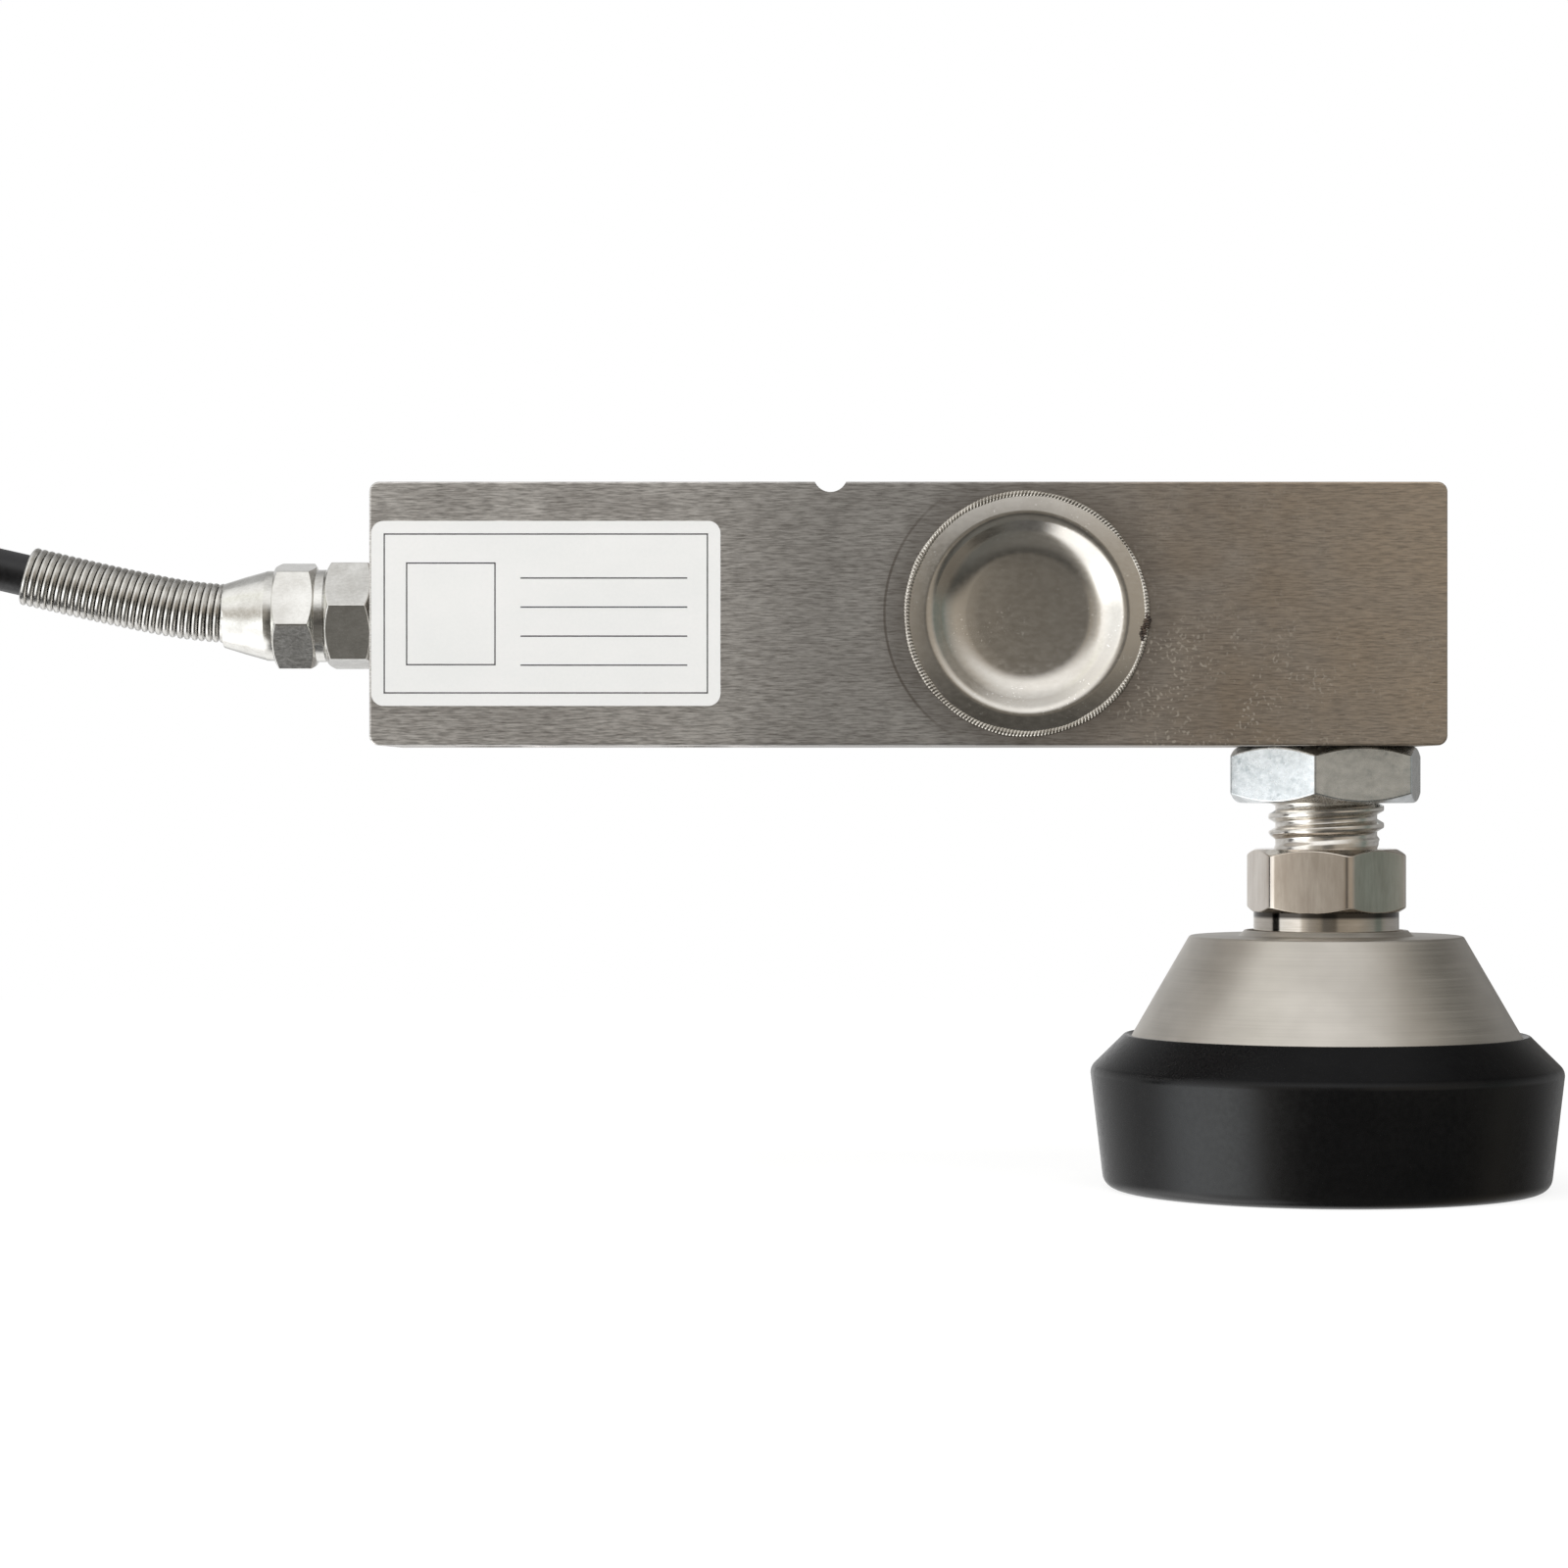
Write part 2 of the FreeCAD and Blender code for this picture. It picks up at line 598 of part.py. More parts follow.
def label():
    """The label's sheet on the front face, flush with the cable end."""
    middle = V(X_CABLE + EDGE_ROUND + LABEL_L / 2, -Y_FACE - LABEL_T / 2, Z_AXIS)
    sheet = block(LABEL_L, LABEL_T, LABEL_H, middle)
    upright = [e for e in sheet.Edges if abs(e.tangentAt(e.FirstParameter).y) > 0.9]
    return sheet.makeFillet(LABEL_R, upright)


def jam_nut():
    """The thin nut that locks the stud against the beam."""
    r = THREAD_D / 2 + THREAD_FIT
    nut = hexagon(JAM_HEX, Z_JAM, Z_BEAM, JAM_TURN)
    bore = turned(
        [(0, Z_JAM - 1), (r + 1.6, Z_JAM - 1), (r, Z_JAM + 0.6), (r, Z_BEAM - 0.6), (r + 1.6, Z_BEAM + 1),
         (0, Z_BEAM + 1)]
    )
    return nut.cut(bore)


def stud():
    """The levelling stud: thread, relief, hexagon, neck and ball in one piece."""
    r, relief, neck = THREAD_D / 2, RELIEF_D / 2, NECK_D / 2
    top = Z_HEX + THREAD_L
    shaft = turned(
        [(0, Z_HEX), (relief, Z_HEX), (relief, Z_HEX + RELIEF_L), (r, Z_HEX + RELIEF_L + r - relief),
         (r, top - 1.2), (r - 1.2, top), (0, top)]
    )
    meet = math.sqrt(BALL_R**2 - neck**2)
    side = math.sqrt(0.5) * BALL_R
    ball = turned(
        [(0, Z_NECK), (neck, Z_NECK), (neck, Z_BALL + meet), ((side, Z_BALL - side), (0, Z_BALL - BALL_R))]
    )
    grip = hexagon(STUD_HEX, Z_NECK, Z_HEX, STUD_TURN)
    return shaft.fuse(grip).fuse(ball).removeSplitter()


def shell(inner, outer, low, high):
    """A spherical shell about the origin, between two heights."""
    ball = Part.makeSphere(outer).cut(Part.makeSphere(inner))
    return ball.common(rod(3 * outer, low, high))


def foot_base():
    """The conical base: a spherical socket under a thin swaged lip, and a rim inside the rubber."""
    slope = math.tan(math.radians(CONE_DEG))
    top_r, rim_r = BASE_TOP_D / 2, BASE_RIM_D / 2
    mouth = NECK_D / 2 + TILT_GAP
    rim_z = -(rim_r - top_r) / slope
    lip_r = mouth + LIP_T
    edge = 0.4
    outside = turned(
        [(0, -BASE_H), (rim_r, -BASE_H), (rim_r, rim_z), (top_r + edge * slope, -edge), (top_r - edge, 0),
         (lip_r + LIP_H, 0), (lip_r, LIP_H), (0, LIP_H)]
    )
    under_lip = LIP_H - LIP_T
    socket = placed(Part.makeSphere(SOCKET_R), V(0, 0, -BALL_DEPTH))
    socket = socket.common(rod(3 * SOCKET_R, -2 * BASE_H, under_lip))
    return outside.cut(socket).cut(rod(2 * mouth, -BALL_DEPTH, LIP_H + 1))


def rubber_pad():
    """The rubber pad: a ridge above a side that draws in towards the floor."""
    slope = math.tan(math.radians(CONE_DEG))
    cone_r = BASE_TOP_D / 2 + CONE_SHOWN * slope
    rim_r = BASE_RIM_D / 2
    rim_z = -(rim_r - BASE_TOP_D / 2) / slope + CONE_SHOWN
    inner_z = CONE_SHOWN - BASE_H
    foot_r, ridge_r = PAD_FOOT_D / 2, PAD_RIDGE_D / 2
    soft = 0.5
    pad = turned(
        [(0, -PAD_H), (foot_r, -PAD_H), (ridge_r, -PAD_SLOPE_H - soft), (ridge_r, -PAD_SLOPE_H + soft),
         (PAD_TOP_D / 2, 0), (cone_r, 0), (rim_r, rim_z), (rim_r, inner_z), (0, inner_z)]
    )
    bottom = [e for e in pad.Edges if abs(e.BoundBox.ZMax + PAD_H) < 1e-3 and e.BoundBox.XMax > foot_r - 0.1]
    return pad.makeFillet(PAD_CORNER_R, bottom)


def sensor_pieces():
    """The beam and everything in it, as {node: shape}."""
    face = V(X_GAUGE, -Y_FACE, Z_AXIS)
    back = V(X_GAUGE, Y_FACE, Z_AXIS)
    return {
        "beam_body": beam_body(),
        "front_seal_cup": placed(seal_cup(), face, INTO_FRONT),
        "rear_seal_cup": placed(seal_cup(), back, INTO_REAR),
        "front_strain_gauge": on_web(GAUGE_L, GAUGE_H, GAUGE_T, gauge_x(), -1),
        "rear_strain_gauge": on_web(GAUGE_L, GAUGE_H, GAUGE_T, gauge_x(), 1),
        "compensation_board": on_web(BOARD_L, BOARD_H, BOARD_T, X_BOARD, -1),
        "rear_terminal_strip": on_web(BOARD_L, BOARD_H, BOARD_T, X_BOARD, 1),
        "trim_resistors": trim_resistors(),
        "front_gauge_leads": gauge_leads(-1),
        "rear_gauge_leads": gauge_leads(1),
        "link_wires": link_wires(),
        "core_red": core(1, -1),
        "core_black": core(-1, -1),
        "core_green": core(1, 1),
        "core_white": core(-1, 1),
        "label": label(),
    }


def cable_pieces():
    """The gland, spring and cable, as {node: shape}."""
    end = V(X_CABLE, Y_GLAND, Z_AXIS)
    pieces = {
        "gland_body": placed(gland_body(), end, OUT_OF_END),
        "gland_o_ring": placed(gland_o_ring(), end, OUT_OF_END),
        "gland_seal": placed(gland_seal(), end, OUT_OF_END),
        "gland_nut": placed(gland_nut(), end, OUT_OF_END),
        "bend_spring": bend_spring(),
        "cable_run": cable_run(),
        "cable_coil": cable_coil(),
        "coil_tie": coil_tie(),
        "cable_tail": cable_tail(),
        "lead_tips": lead_tips(),
    }
    for k, colour in enumerate(("red", "black", "green", "white")):
        pieces[f"lead_{colour}"] = lead(k)
    return pieces


def foot_pieces():
    """The jam nut, stud and foot, as {node: shape}."""
    axis = V(X_LOAD, 0, 0)
    ball = V(X_LOAD, 0, Z_BALL)
    inner = BALL_R + BALL_FIT
    return {
        "jam_nut": placed(jam_nut(), axis),
        "stud": placed(stud(), axis),
        "socket_ring": placed(shell(inner, LINER_R, RING_FROM, RING_TO), ball),
        "ball_seat": placed(shell(inner, LINER_R, -2 * LINER_R, SEAT_TOP), ball),
        "foot_base": placed(foot_base(), V(X_LOAD, 0, Z_BASE)),
        "rubber_pad": placed(rubber_pad(), V(X_LOAD, 0, Z_PAD)),
    }


def export(pieces):
    """Write each node's shape, after a look at its solids."""
    for node, shape in pieces.items():
        if not shape.isValid() or shape.Volume <= 0:
            raise ValueError(f"{node} is not a sound solid")
        print(f"{node}: {len(shape.Solids)} solids, {shape.Volume:.1f} mm3")
        shape.exportStep(f"parts/{node}.step")


os.makedirs("parts", exist_ok=True)
export(sensor_pieces())
export(cable_pieces())
export(foot_pieces())
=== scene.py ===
"""Looks of a cantilever beam load cell on a levelling foot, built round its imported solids.

Axes: +X along the beam to its loaded end, +Z up, -Y out of the face with the label.
The sizes in the classes are millimetres, and MM turns them to metres.
"""

from __future__ import annotations

import logging
import math
from dataclasses import dataclass
from enum import Enum
from typing import Any, Sequence

import bmesh
import bpy
import numpy as np
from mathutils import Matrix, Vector

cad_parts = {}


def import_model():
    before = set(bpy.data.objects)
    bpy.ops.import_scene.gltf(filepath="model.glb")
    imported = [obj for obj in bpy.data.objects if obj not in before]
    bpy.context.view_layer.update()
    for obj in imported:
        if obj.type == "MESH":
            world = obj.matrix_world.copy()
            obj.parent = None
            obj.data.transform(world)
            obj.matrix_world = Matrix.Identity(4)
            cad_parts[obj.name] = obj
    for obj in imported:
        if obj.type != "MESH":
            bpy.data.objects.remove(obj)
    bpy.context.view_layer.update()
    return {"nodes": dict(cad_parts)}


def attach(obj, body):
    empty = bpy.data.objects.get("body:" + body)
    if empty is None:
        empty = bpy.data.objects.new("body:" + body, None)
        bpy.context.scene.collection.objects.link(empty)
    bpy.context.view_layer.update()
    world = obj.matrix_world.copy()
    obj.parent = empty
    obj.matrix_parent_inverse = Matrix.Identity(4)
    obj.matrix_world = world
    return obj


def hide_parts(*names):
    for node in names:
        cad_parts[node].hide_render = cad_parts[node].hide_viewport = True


MM = 0.001
LOG = logging.getLogger("load_cell")
Tree = bpy.types.NodeTree
Socket = bpy.types.NodeSocket
Thing = bpy.types.Object
Span = tuple[float, float]
Spot = tuple[float, float, float]

# Levels of a noise pattern between which a finish goes from its first colour or gloss to its second
COLOUR_LEVELS = (0.36, 0.64)
GLOSS_LEVELS = (0.3, 0.7)
# Distance in metres below which a built mesh's points are merged, and angle from which its edges stay sharp
MERGE_GAP = 2e-7
CREASE_DEG = 30.0


def linear(code: str) -> tuple[float, float, float, float]:
    """Turn an sRGB hex colour into linear RGBA.

    Args:
        code: colour such as "#8a8580".

    Returns:
        Linear red, green, blue and an alpha of 1.
    """
    srgb = np.array([int(code[i : i + 2], 16) for i in (1, 3, 5)]) / 255.0
    rgb = np.where(srgb <= 0.04045, srgb / 12.92, ((srgb + 0.055) / 1.055) ** 2.4)
    return (float(rgb[0]), float(rgb[1]), float(rgb[2]), 1.0)


def add(tree: Tree, kind: str, inputs: dict[Any, Any] | None = None, **settings: Any) -> bpy.types.Node:
    """Add a shader node with its settings and links.

    Args:
        tree: node tree that takes the node.
        kind: node type without its "ShaderNode" prefix.
        inputs: value or linked socket for each input, by name or number.
        settings: the node's own properties.

    Returns:
        The new node.
    """
    node = tree.nodes.new("ShaderNode" + kind)
    for name, value in settings.items():
        setattr(node, name, value)
    for name, value in (inputs or {}).items():
        socket = node.inputs[name]
        if isinstance(value, bpy.types.NodeSocket):
            tree.links.new(value, socket)
        else:
            socket.default_value = value
    return node


def bare_tree(owner: bpy.types.Material | bpy.types.World) -> Tree:
    """Turn on a material's or world's nodes and take the ready-made ones out.

    Args:
        owner: material or world.

    Returns:
        Its empty node tree.
    """
    owner.use_nodes = True
    owner.node_tree.nodes.clear()
    return owner.node_tree


def linked(name: str, data: bpy.types.ID) -> Thing:
    """Make an object and link it to the scene.

    Args:
        name: object's name.
        data: its mesh, curve, lamp or camera.

    Returns:
        The new object.
    """
    made = bpy.data.objects.new(name, data)
    bpy.context.scene.collection.objects.link(made)
    return made


@dataclass(frozen=True)
class Marks:
    """A noise pattern whose marks have a real size in mm along x, y and z."""

    size: Spot
    detail: float = 2.0
    rough: float = 0.5
    shift: float = 0.0

    def field(self, tree: Tree) -> Socket:
        """Add the pattern on Object coordinates.

        Args:
            tree: node tree that takes the pattern.

        Returns:
            A value about 0.5 that wavers over one mark's size.
        """
        coords = add(tree, "TexCoord")
        scale = [1.0 / (s * MM) for s in self.size]
        mapped = add(
            tree,
            "Mapping",
            {"Vector": coords.outputs["Object"], "Location": (self.shift,) * 3, "Scale": scale},
        )
        noise = add(
            tree,
            "TexNoise",
            {"Vector": mapped.outputs[0], "Scale": 1.0, "Detail": self.detail, "Roughness": self.rough},
        )
        return noise.outputs[0]


def spread(
    tree: Tree, value: Socket, low: float, high: float, start: float = 0.0, end: float = 1.0
) -> Socket:
    """Stretch a value from low..high to start..end, held at both ends.

    Args:
        tree: node tree that takes the node.
        value: value to stretch.
        low: value that gives start.
        high: value that gives end.
        start: result at low.
        end: result at high.

    Returns:
        The stretched value.
    """
    node = add(
        tree,
        "MapRange",
        {"Value": value, "From Min": low, "From Max": high, "To Min": start, "To Max": end},
    )
    return node.outputs[0]


def over_mm(tree: Tree, length: Socket, span: Span, start: float = 0.0, end: float = 1.0) -> Socket:
    """Stretch a length from a span in mm to start..end, held at both ends."""
    return spread(tree, length, span[0] * MM, span[1] * MM, start, end)


def object_xyz(tree: Tree) -> tuple[Socket, Socket, Socket]:
    """Give a point's x, y and z in the part's frame."""
    x, y, z = add(tree, "SeparateXYZ", {0: add(tree, "TexCoord").outputs["Object"]}).outputs
    return x, y, z


def reckon(tree: Tree, operation: str, one: Any, other: Any = 0.0) -> Socket:
    """Give the result of a Math node."""
    return add(tree, "Math", {0: one, 1: other}, operation=operation).outputs[0]


def times(tree: Tree, one: Any, other: Any) -> Socket:
    """Multiply two values."""
    return reckon(tree, "MULTIPLY", one, other)


def blend(tree: Tree, share: Socket, under: Any, over: Any) -> Socket:
    """Mix two colours by the share of the second."""
    return add(tree, "Mix", {0: share, 6: under, 7: over}, data_type="RGBA").outputs[2]


def lay_over(tree: Tree, share: Socket, under: Socket, code: str) -> Socket:
    """Lay a hex colour over another by a share."""
    return blend(tree, share, under, linear(code))


@dataclass(frozen=True)
class Specks:
    """Small marks of another colour, where a fine pattern passes its level inside patches of a broad one."""

    code: str
    fine: Marks
    patch: Marks
    level: Span = (0.62, 0.68)
    patch_level: Span = (0.48, 0.62)
    share: float = 0.8

    def field(self, tree: Tree) -> Socket:
        """Add the specks' pattern.

        Args:
            tree: node tree that takes the pattern.

        Returns:
            How much of the specks' colour shows.
        """
        inside = spread(tree, self.patch.field(tree), *self.patch_level, 0.0, self.share)
        return times(tree, spread(tree, self.fine.field(tree), *self.level), inside)


@dataclass(frozen=True)
class Finish:
    """A procedural finish.

    Broad and fine marks mix two colours, fine marks vary the gloss and the relief, and specks lie over both.
    """

    name: str
    dark: str
    light: str
    metallic: float = 0.0
    gloss: Span = (0.4, 0.5)
    broad: Marks = Marks((8.0, 8.0, 8.0), 3.0)
    fine: Marks = Marks((0.5, 0.5, 0.5), 2.0)
    fine_share: float = 0.35
    relief: float = 0.004
    specular: float = 0.5
    specks: Specks | None = None

    def tint(self, tree: Tree, colour: Socket) -> Socket:
        """Lay the specks, if any, over the mixed colour."""
        return lay_over(tree, self.specks.field(tree), colour, self.specks.code) if self.specks else colour

    def sheen(self, tree: Tree) -> float | Socket:
        """Give the shader's specular level, or a socket that holds it."""
        return self.specular

    def material(self) -> bpy.types.Material:
        """Make the material, or give the one already made.

        Returns:
            The finish's material.
        """
        made = bpy.data.materials.get(self.name)
        if made:
            return made
        made = bpy.data.materials.new(self.name)
        tree = bare_tree(made)
        broad = self.broad.field(tree)
        fine = self.fine.field(tree)
        both = add(tree, "Mix", {0: self.fine_share, 2: broad, 3: fine}).outputs[0]
        mixed = blend(tree, spread(tree, both, *COLOUR_LEVELS), linear(self.dark), linear(self.light))
        rough = spread(tree, fine, *GLOSS_LEVELS, *self.gloss)
        bump = add(tree, "Bump", {"Strength": 1.0, "Distance": self.relief * MM, "Height": fine})
        shader = add(
            tree,
            "BsdfPrincipled",
            {
                "Base Color": self.tint(tree, mixed),
                "Roughness": rough,
                "Metallic": self.metallic,
                "Specular IOR Level": self.sheen(tree),
                "Normal": bump.outputs[0],
            },
        )
        add(tree, "OutputMaterial", {"Surface": shader.outputs[0]})
        return made


@dataclass(frozen=True)
class GroundSteel(Finish):
    """Tool steel ground lengthwise, with its spans in mm in the part's frame.

    It gives the eye short fine streaks along the bar, clusters of bright pits near the loaded end, and a
    dull heat tint round the welds inside a scribed ring. Over these lies painted light: painted shade of a
    darker grey over the bar beyond its left part, and a painted warm reflection and a painted highlight
    towards the loaded end, mostly on the front face.
    """

    # Painted light along the bar: a darker grey of painted shade, a painted warm reflection and a painted
    # highlight
    cool: str = "#aaa8a5"
    shade_grey_x: Span = (8.0, 26.0)
    shade_grey_share: float = 0.6
    warm: str = "#ad9a84"
    warm_x: Span = (45.0, 70.0)
    warm_share: float = 0.75
    tip: str = "#dccab4"
    tip_x: Span = (72.0, 103.0)
    tip_share: float = 0.65
    painted_face_y: Span = (-15.6, -8.0)
    other_share: float = 0.3
    groove: str = "#66615c"
    groove_x: Span = (40.0, 66.0)
    groove_shares: Span = (0.64, 0.5)
    scratched: str = "#39332d"
    scratch_share: float = 0.55
    burnt: str = "#6a625a"
    weld_at: Spot = (50.8, 0.0, -15.9)
    heat_r: Span = (19.0, 14.6)
    heat_share: float = 0.6
    scribed_r: float = 17.2
    scribed_w: Span = (0.22, 0.08)
    scribed_x: Span = (37.0, 42.0)
    scribed_share: float = 0.7
    pits_from_x: Span = (58.0, 65.0)
    pits_before: float = 0.05
    pits_thin_x: Span = (80.0, 92.0)
    pits_beyond: float = 0.35
    pits_z: Span = (-15.0, -21.0)
    pits_above: float = 0.2
    grain: Marks = Marks((1.9, 0.26, 0.2), 3.0, 0.62, 3.0)
    grain_levels: Span = (0.4, 0.68)
    scratch: Marks = Marks((2.2, 0.3, 0.13), 1.0, 0.5, 13.0)
    scratch_levels: Span = (0.7, 0.76)
    blotch: Marks = Marks((9.0, 9.0, 9.0), 3.0, 0.55, 11.0)
    blotch_levels: Span = (0.35, 0.65)
    blotch_least: float = 0.7

    def weld_reach(self, tree: Tree) -> Socket:
        """Measure a point's distance from the axis that both welds share.

        Args:
            tree: node tree that takes the measure.

        Returns:
            The distance.
        """
        spot = add(tree, "TexCoord").outputs["Object"]
        weld = [c * MM for c in self.weld_at]
        offset = add(tree, "VectorMath", {0: spot, 1: weld}, operation="SUBTRACT")
        flat = add(tree, "VectorMath", {0: offset.outputs[0], 1: (1.0, 0.0, 1.0)}, operation="MULTIPLY")
        return add(tree, "VectorMath", {0: flat.outputs[0]}, operation="LENGTH").outputs["Value"]

    def scribed(self, tree: Tree, reach: Socket, along: Socket) -> Socket:
        """Give the share of the scribed ring: a thin line at its radius, worn away towards the loaded end.

        Args:
            tree: node tree that takes the ring.
            reach: distance from the welds' axis.
            along: place along the bar.

        Returns:
            How much of the ring's colour shows.
        """
        off = reckon(tree, "ABSOLUTE", reckon(tree, "SUBTRACT", reach, self.scribed_r * MM))
        line = over_mm(tree, off, self.scribed_w)
        return times(tree, line, over_mm(tree, along, self.scribed_x, self.scribed_share, 0.0))

    def pits(self, tree: Tree, along: Socket, up: Socket) -> Socket:
        """Give the share of the pits: clusters low on the loaded end, thinner towards its tip.

        Args:
            tree: node tree that takes the pits.
            along: place along the bar.
            up: height.

        Returns:
            How much of the pits' colour shows.
        """
        start = over_mm(tree, along, self.pits_from_x, self.pits_before, 1.0)
        thin = over_mm(tree, along, self.pits_thin_x, 1.0, self.pits_beyond)
        low = over_mm(tree, up, self.pits_z, self.pits_above, 1.0)
        return times(tree, self.specks.field(tree), times(tree, times(tree, start, thin), low))

    def tint(self, tree: Tree, colour: Socket) -> Socket:
        """Lay the bar's tints, painted light among them, over the mixed colour, one on the other.

        Args:
            tree: node tree that takes the layers.
            colour: mixed colour of the metal.

        Returns:
            The colour with every layer on it.
        """
        along, across, up = object_xyz(tree)
        reach = self.weld_reach(tree)
        blotch = spread(tree, self.blotch.field(tree), *self.blotch_levels, self.blotch_least, 1.0)
        front = times(tree, blotch, over_mm(tree, across, self.painted_face_y, 1.0, self.other_share))
        streaks = spread(tree, self.grain.field(tree), *self.grain_levels)
        scratches = spread(tree, self.scratch.field(tree), *self.scratch_levels)
        layers = (
            # The next three layers are painted light: painted shade beyond the bar's left part, and a
            # painted warm reflection and a painted highlight towards the loaded end, mostly on the front
            # face
            (over_mm(tree, along, self.shade_grey_x, 0.0, self.shade_grey_share), self.cool),
            (times(tree, front, over_mm(tree, along, self.warm_x, 0.0, self.warm_share)), self.warm),
            (times(tree, front, over_mm(tree, along, self.tip_x, 0.0, self.tip_share)), self.tip),
            (times(tree, streaks, over_mm(tree, along, self.groove_x, *self.groove_shares)), self.groove),
            (times(tree, scratches, self.scratch_share), self.scratched),
            (times(tree, blotch, over_mm(tree, reach, self.heat_r, 0.0, self.heat_share)), self.burnt),
            (times(tree, blotch, self.scribed(tree, reach, along)), self.burnt),
            (self.pits(tree, along, up), self.specks.code),
        )
        for share, code in layers:
            colour = lay_over(tree, share, colour, code)
        return colour


@dataclass(frozen=True)
class TurnedNeck(Finish):
    """Turned, plated steel with painted shade under the hexagon: a dark band in its colour for the shadow
    line there.
    """

    # Painted shade: the dark colour laid in the corner under the hexagon
    corner_shade: str = "#211d1a"
    corner_shade_share: float = 0.9
    corner_z: Span = (-53.15, -52.8)

    def tint(self, tree: Tree, colour: Socket) -> Socket:
        """Paint shade into the colour towards the corner under the hexagon."""
        share = over_mm(tree, object_xyz(tree)[2], self.corner_z, 0.0, self.corner_shade_share)
        return lay_over(tree, share, colour, self.corner_shade)


@dataclass(frozen=True)
class MouldedRubber(Finish):
    """Moulded rubber whose matt sloping top gives the eye a flat black above a side with a soft sheen."""

    matt: float = 0.09
    ridge_z: Span = (-72.3, -71.5)

    def sheen(self, tree: Tree) -> float | Socket:
        """Drop the specular level over the ridge, from the side's to the slope's."""
        return over_mm(tree, object_xyz(tree)[2], self.ridge_z, self.specular, self.matt)


class Named(Enum):
    """An option whose name in small letters is part of its pieces' names."""

    @property
    def word(self) -> str:
        """The name in small letters."""
        return self.name.lower()


class Side(Named):
    """The beam's two faces with a gauge pocket, by the sign of their Y."""

    FRONT = -1
    REAR = 1


class LeadColour(Named):
    """The insulation colours of the four leads and cores, as dark and light sRGB."""

    RED = ("#8e1613", "#a8221c")
    BLACK = ("#141416", "#202023")
    GREEN = ("#0f5a2a", "#1a7339")
    WHITE = ("#d9d8d2", "#ebeae6")

    def finish(self) -> Finish:
        """Give extruded PVC of this colour, which shows the eye a satin skin with faint unevenness."""
        grain = Marks((0.3, 0.3, 0.3))
        return Finish(f"pvc_insulation_{self.word}", *self.value, gloss=(0.38, 0.5), fine=grain)


# Ground bar of tool steel: satin grey, streaked along its length
BEAM_STEEL = GroundSteel(
    "ground_tool_steel",
    "#d2ceca",
    "#f0ede9",
    metallic=1.0,
    gloss=(0.44, 0.54),
    broad=Marks((10.0, 7.0, 5.0), 3.0),
    fine=Marks((1.6, 0.2, 0.18), 3.0, 0.6),
    fine_share=0.5,
    relief=0.003,
    specks=Specks(
        "#ded6ca",
        fine=Marks((0.4, 0.4, 0.4), 0.0, 0.5, 7.0),
        patch=Marks((3.5, 3.5, 3.5), 2.0, 0.6, 5.0),
        level=(0.62, 0.72),
        patch_level=(0.44, 0.58),
        share=0.75,
    ),
)
# Deep-drawn stainless sheet: bright and smooth, with a few small nicks in it
CUP_STAINLESS = Finish(
    "drawn_stainless",
    "#cfcac2",
    "#dbd7d0",
    metallic=1.0,
    gloss=(0.17, 0.23),
    broad=Marks((6.0, 6.0, 6.0), 3.0),
    fine=Marks((0.9, 0.6, 0.5), 2.0),
    relief=0.0001,
    specks=Specks(
        "#f4f2ee",
        fine=Marks((0.34, 0.34, 0.26), 1.0, 0.5, 2.0),
        patch=Marks((3.0, 3.0, 3.0), 2.0, 0.5, 9.0),
        level=(0.67, 0.72),
        patch_level=(0.5, 0.6),
        share=0.9,
    ),
)
# Weld bead left as welded: dull silver with brown heat colours between its ripples
WELD_METAL = Finish(
    "stainless_weld_bead",
    "#9a948b",
    "#d2cdc5",
    metallic=1.0,
    gloss=(0.2, 0.32),
    broad=Marks((3.0, 3.0, 3.0), 2.0),
    fine=Marks((0.2, 0.2, 0.2), 2.0),
)
# Burnt weld scale: a dark brown crust
WELD_SCALE = Finish(
    "weld_scale",
    "#1c1613",
    "#5c4d41",
    gloss=(0.3, 0.6),
    broad=Marks((0.5, 0.5, 0.4), 2.0),
    fine=Marks((0.25, 0.25, 0.25)),
    relief=0.05,
)
# Bright nickel over brass: near mirror, with a sandy grain where the bar's drawn skin shows through
NICKEL = Finish(
    "bright_nickel_plate",
    "#cbc9c4",
    "#e3e2de",
    metallic=1.0,
    gloss=(0.14, 0.26),
    broad=Marks((2.5, 2.5, 2.5), 3.0),
    fine=Marks((0.5, 0.28, 0.28), 3.0),
    relief=0.006,
)
# Drawn spring wire: bright, with faint lines
SPRING_WIRE = Finish(
    "bright_spring_wire",
    "#b9b7b2",
    "#d9d7d3",
    metallic=1.0,
    gloss=(0.18, 0.28),
    broad=Marks((1.5, 1.5, 1.5), 2.0),
    fine=Marks((0.4, 0.2, 0.2), 2.0),
)
# Clear zinc plating on a drawn hexagon: pale blue-white bloom over bright metal, with dull grey flecks
ZINC = Finish(
    "clear_zinc_plate",
    "#c8cccd",
    "#e6e9ea",
    metallic=1.0,
    gloss=(0.2, 0.3),
    broad=Marks((1.6, 1.6, 1.1), 4.0, 0.6),
    fine=Marks((0.7, 0.7, 0.5), 2.0),
    relief=0.0007,
    specks=Specks(
        "#a9b1b3",
        fine=Marks((1.1, 1.1, 0.8), 3.0, 0.6, 4.0),
        patch=Marks((3.4, 3.4, 2.4), 1.0, 0.5, 8.0),
        level=(0.46, 0.68),
        patch_level=(0.46, 0.66),
        share=0.7,
    ),
)
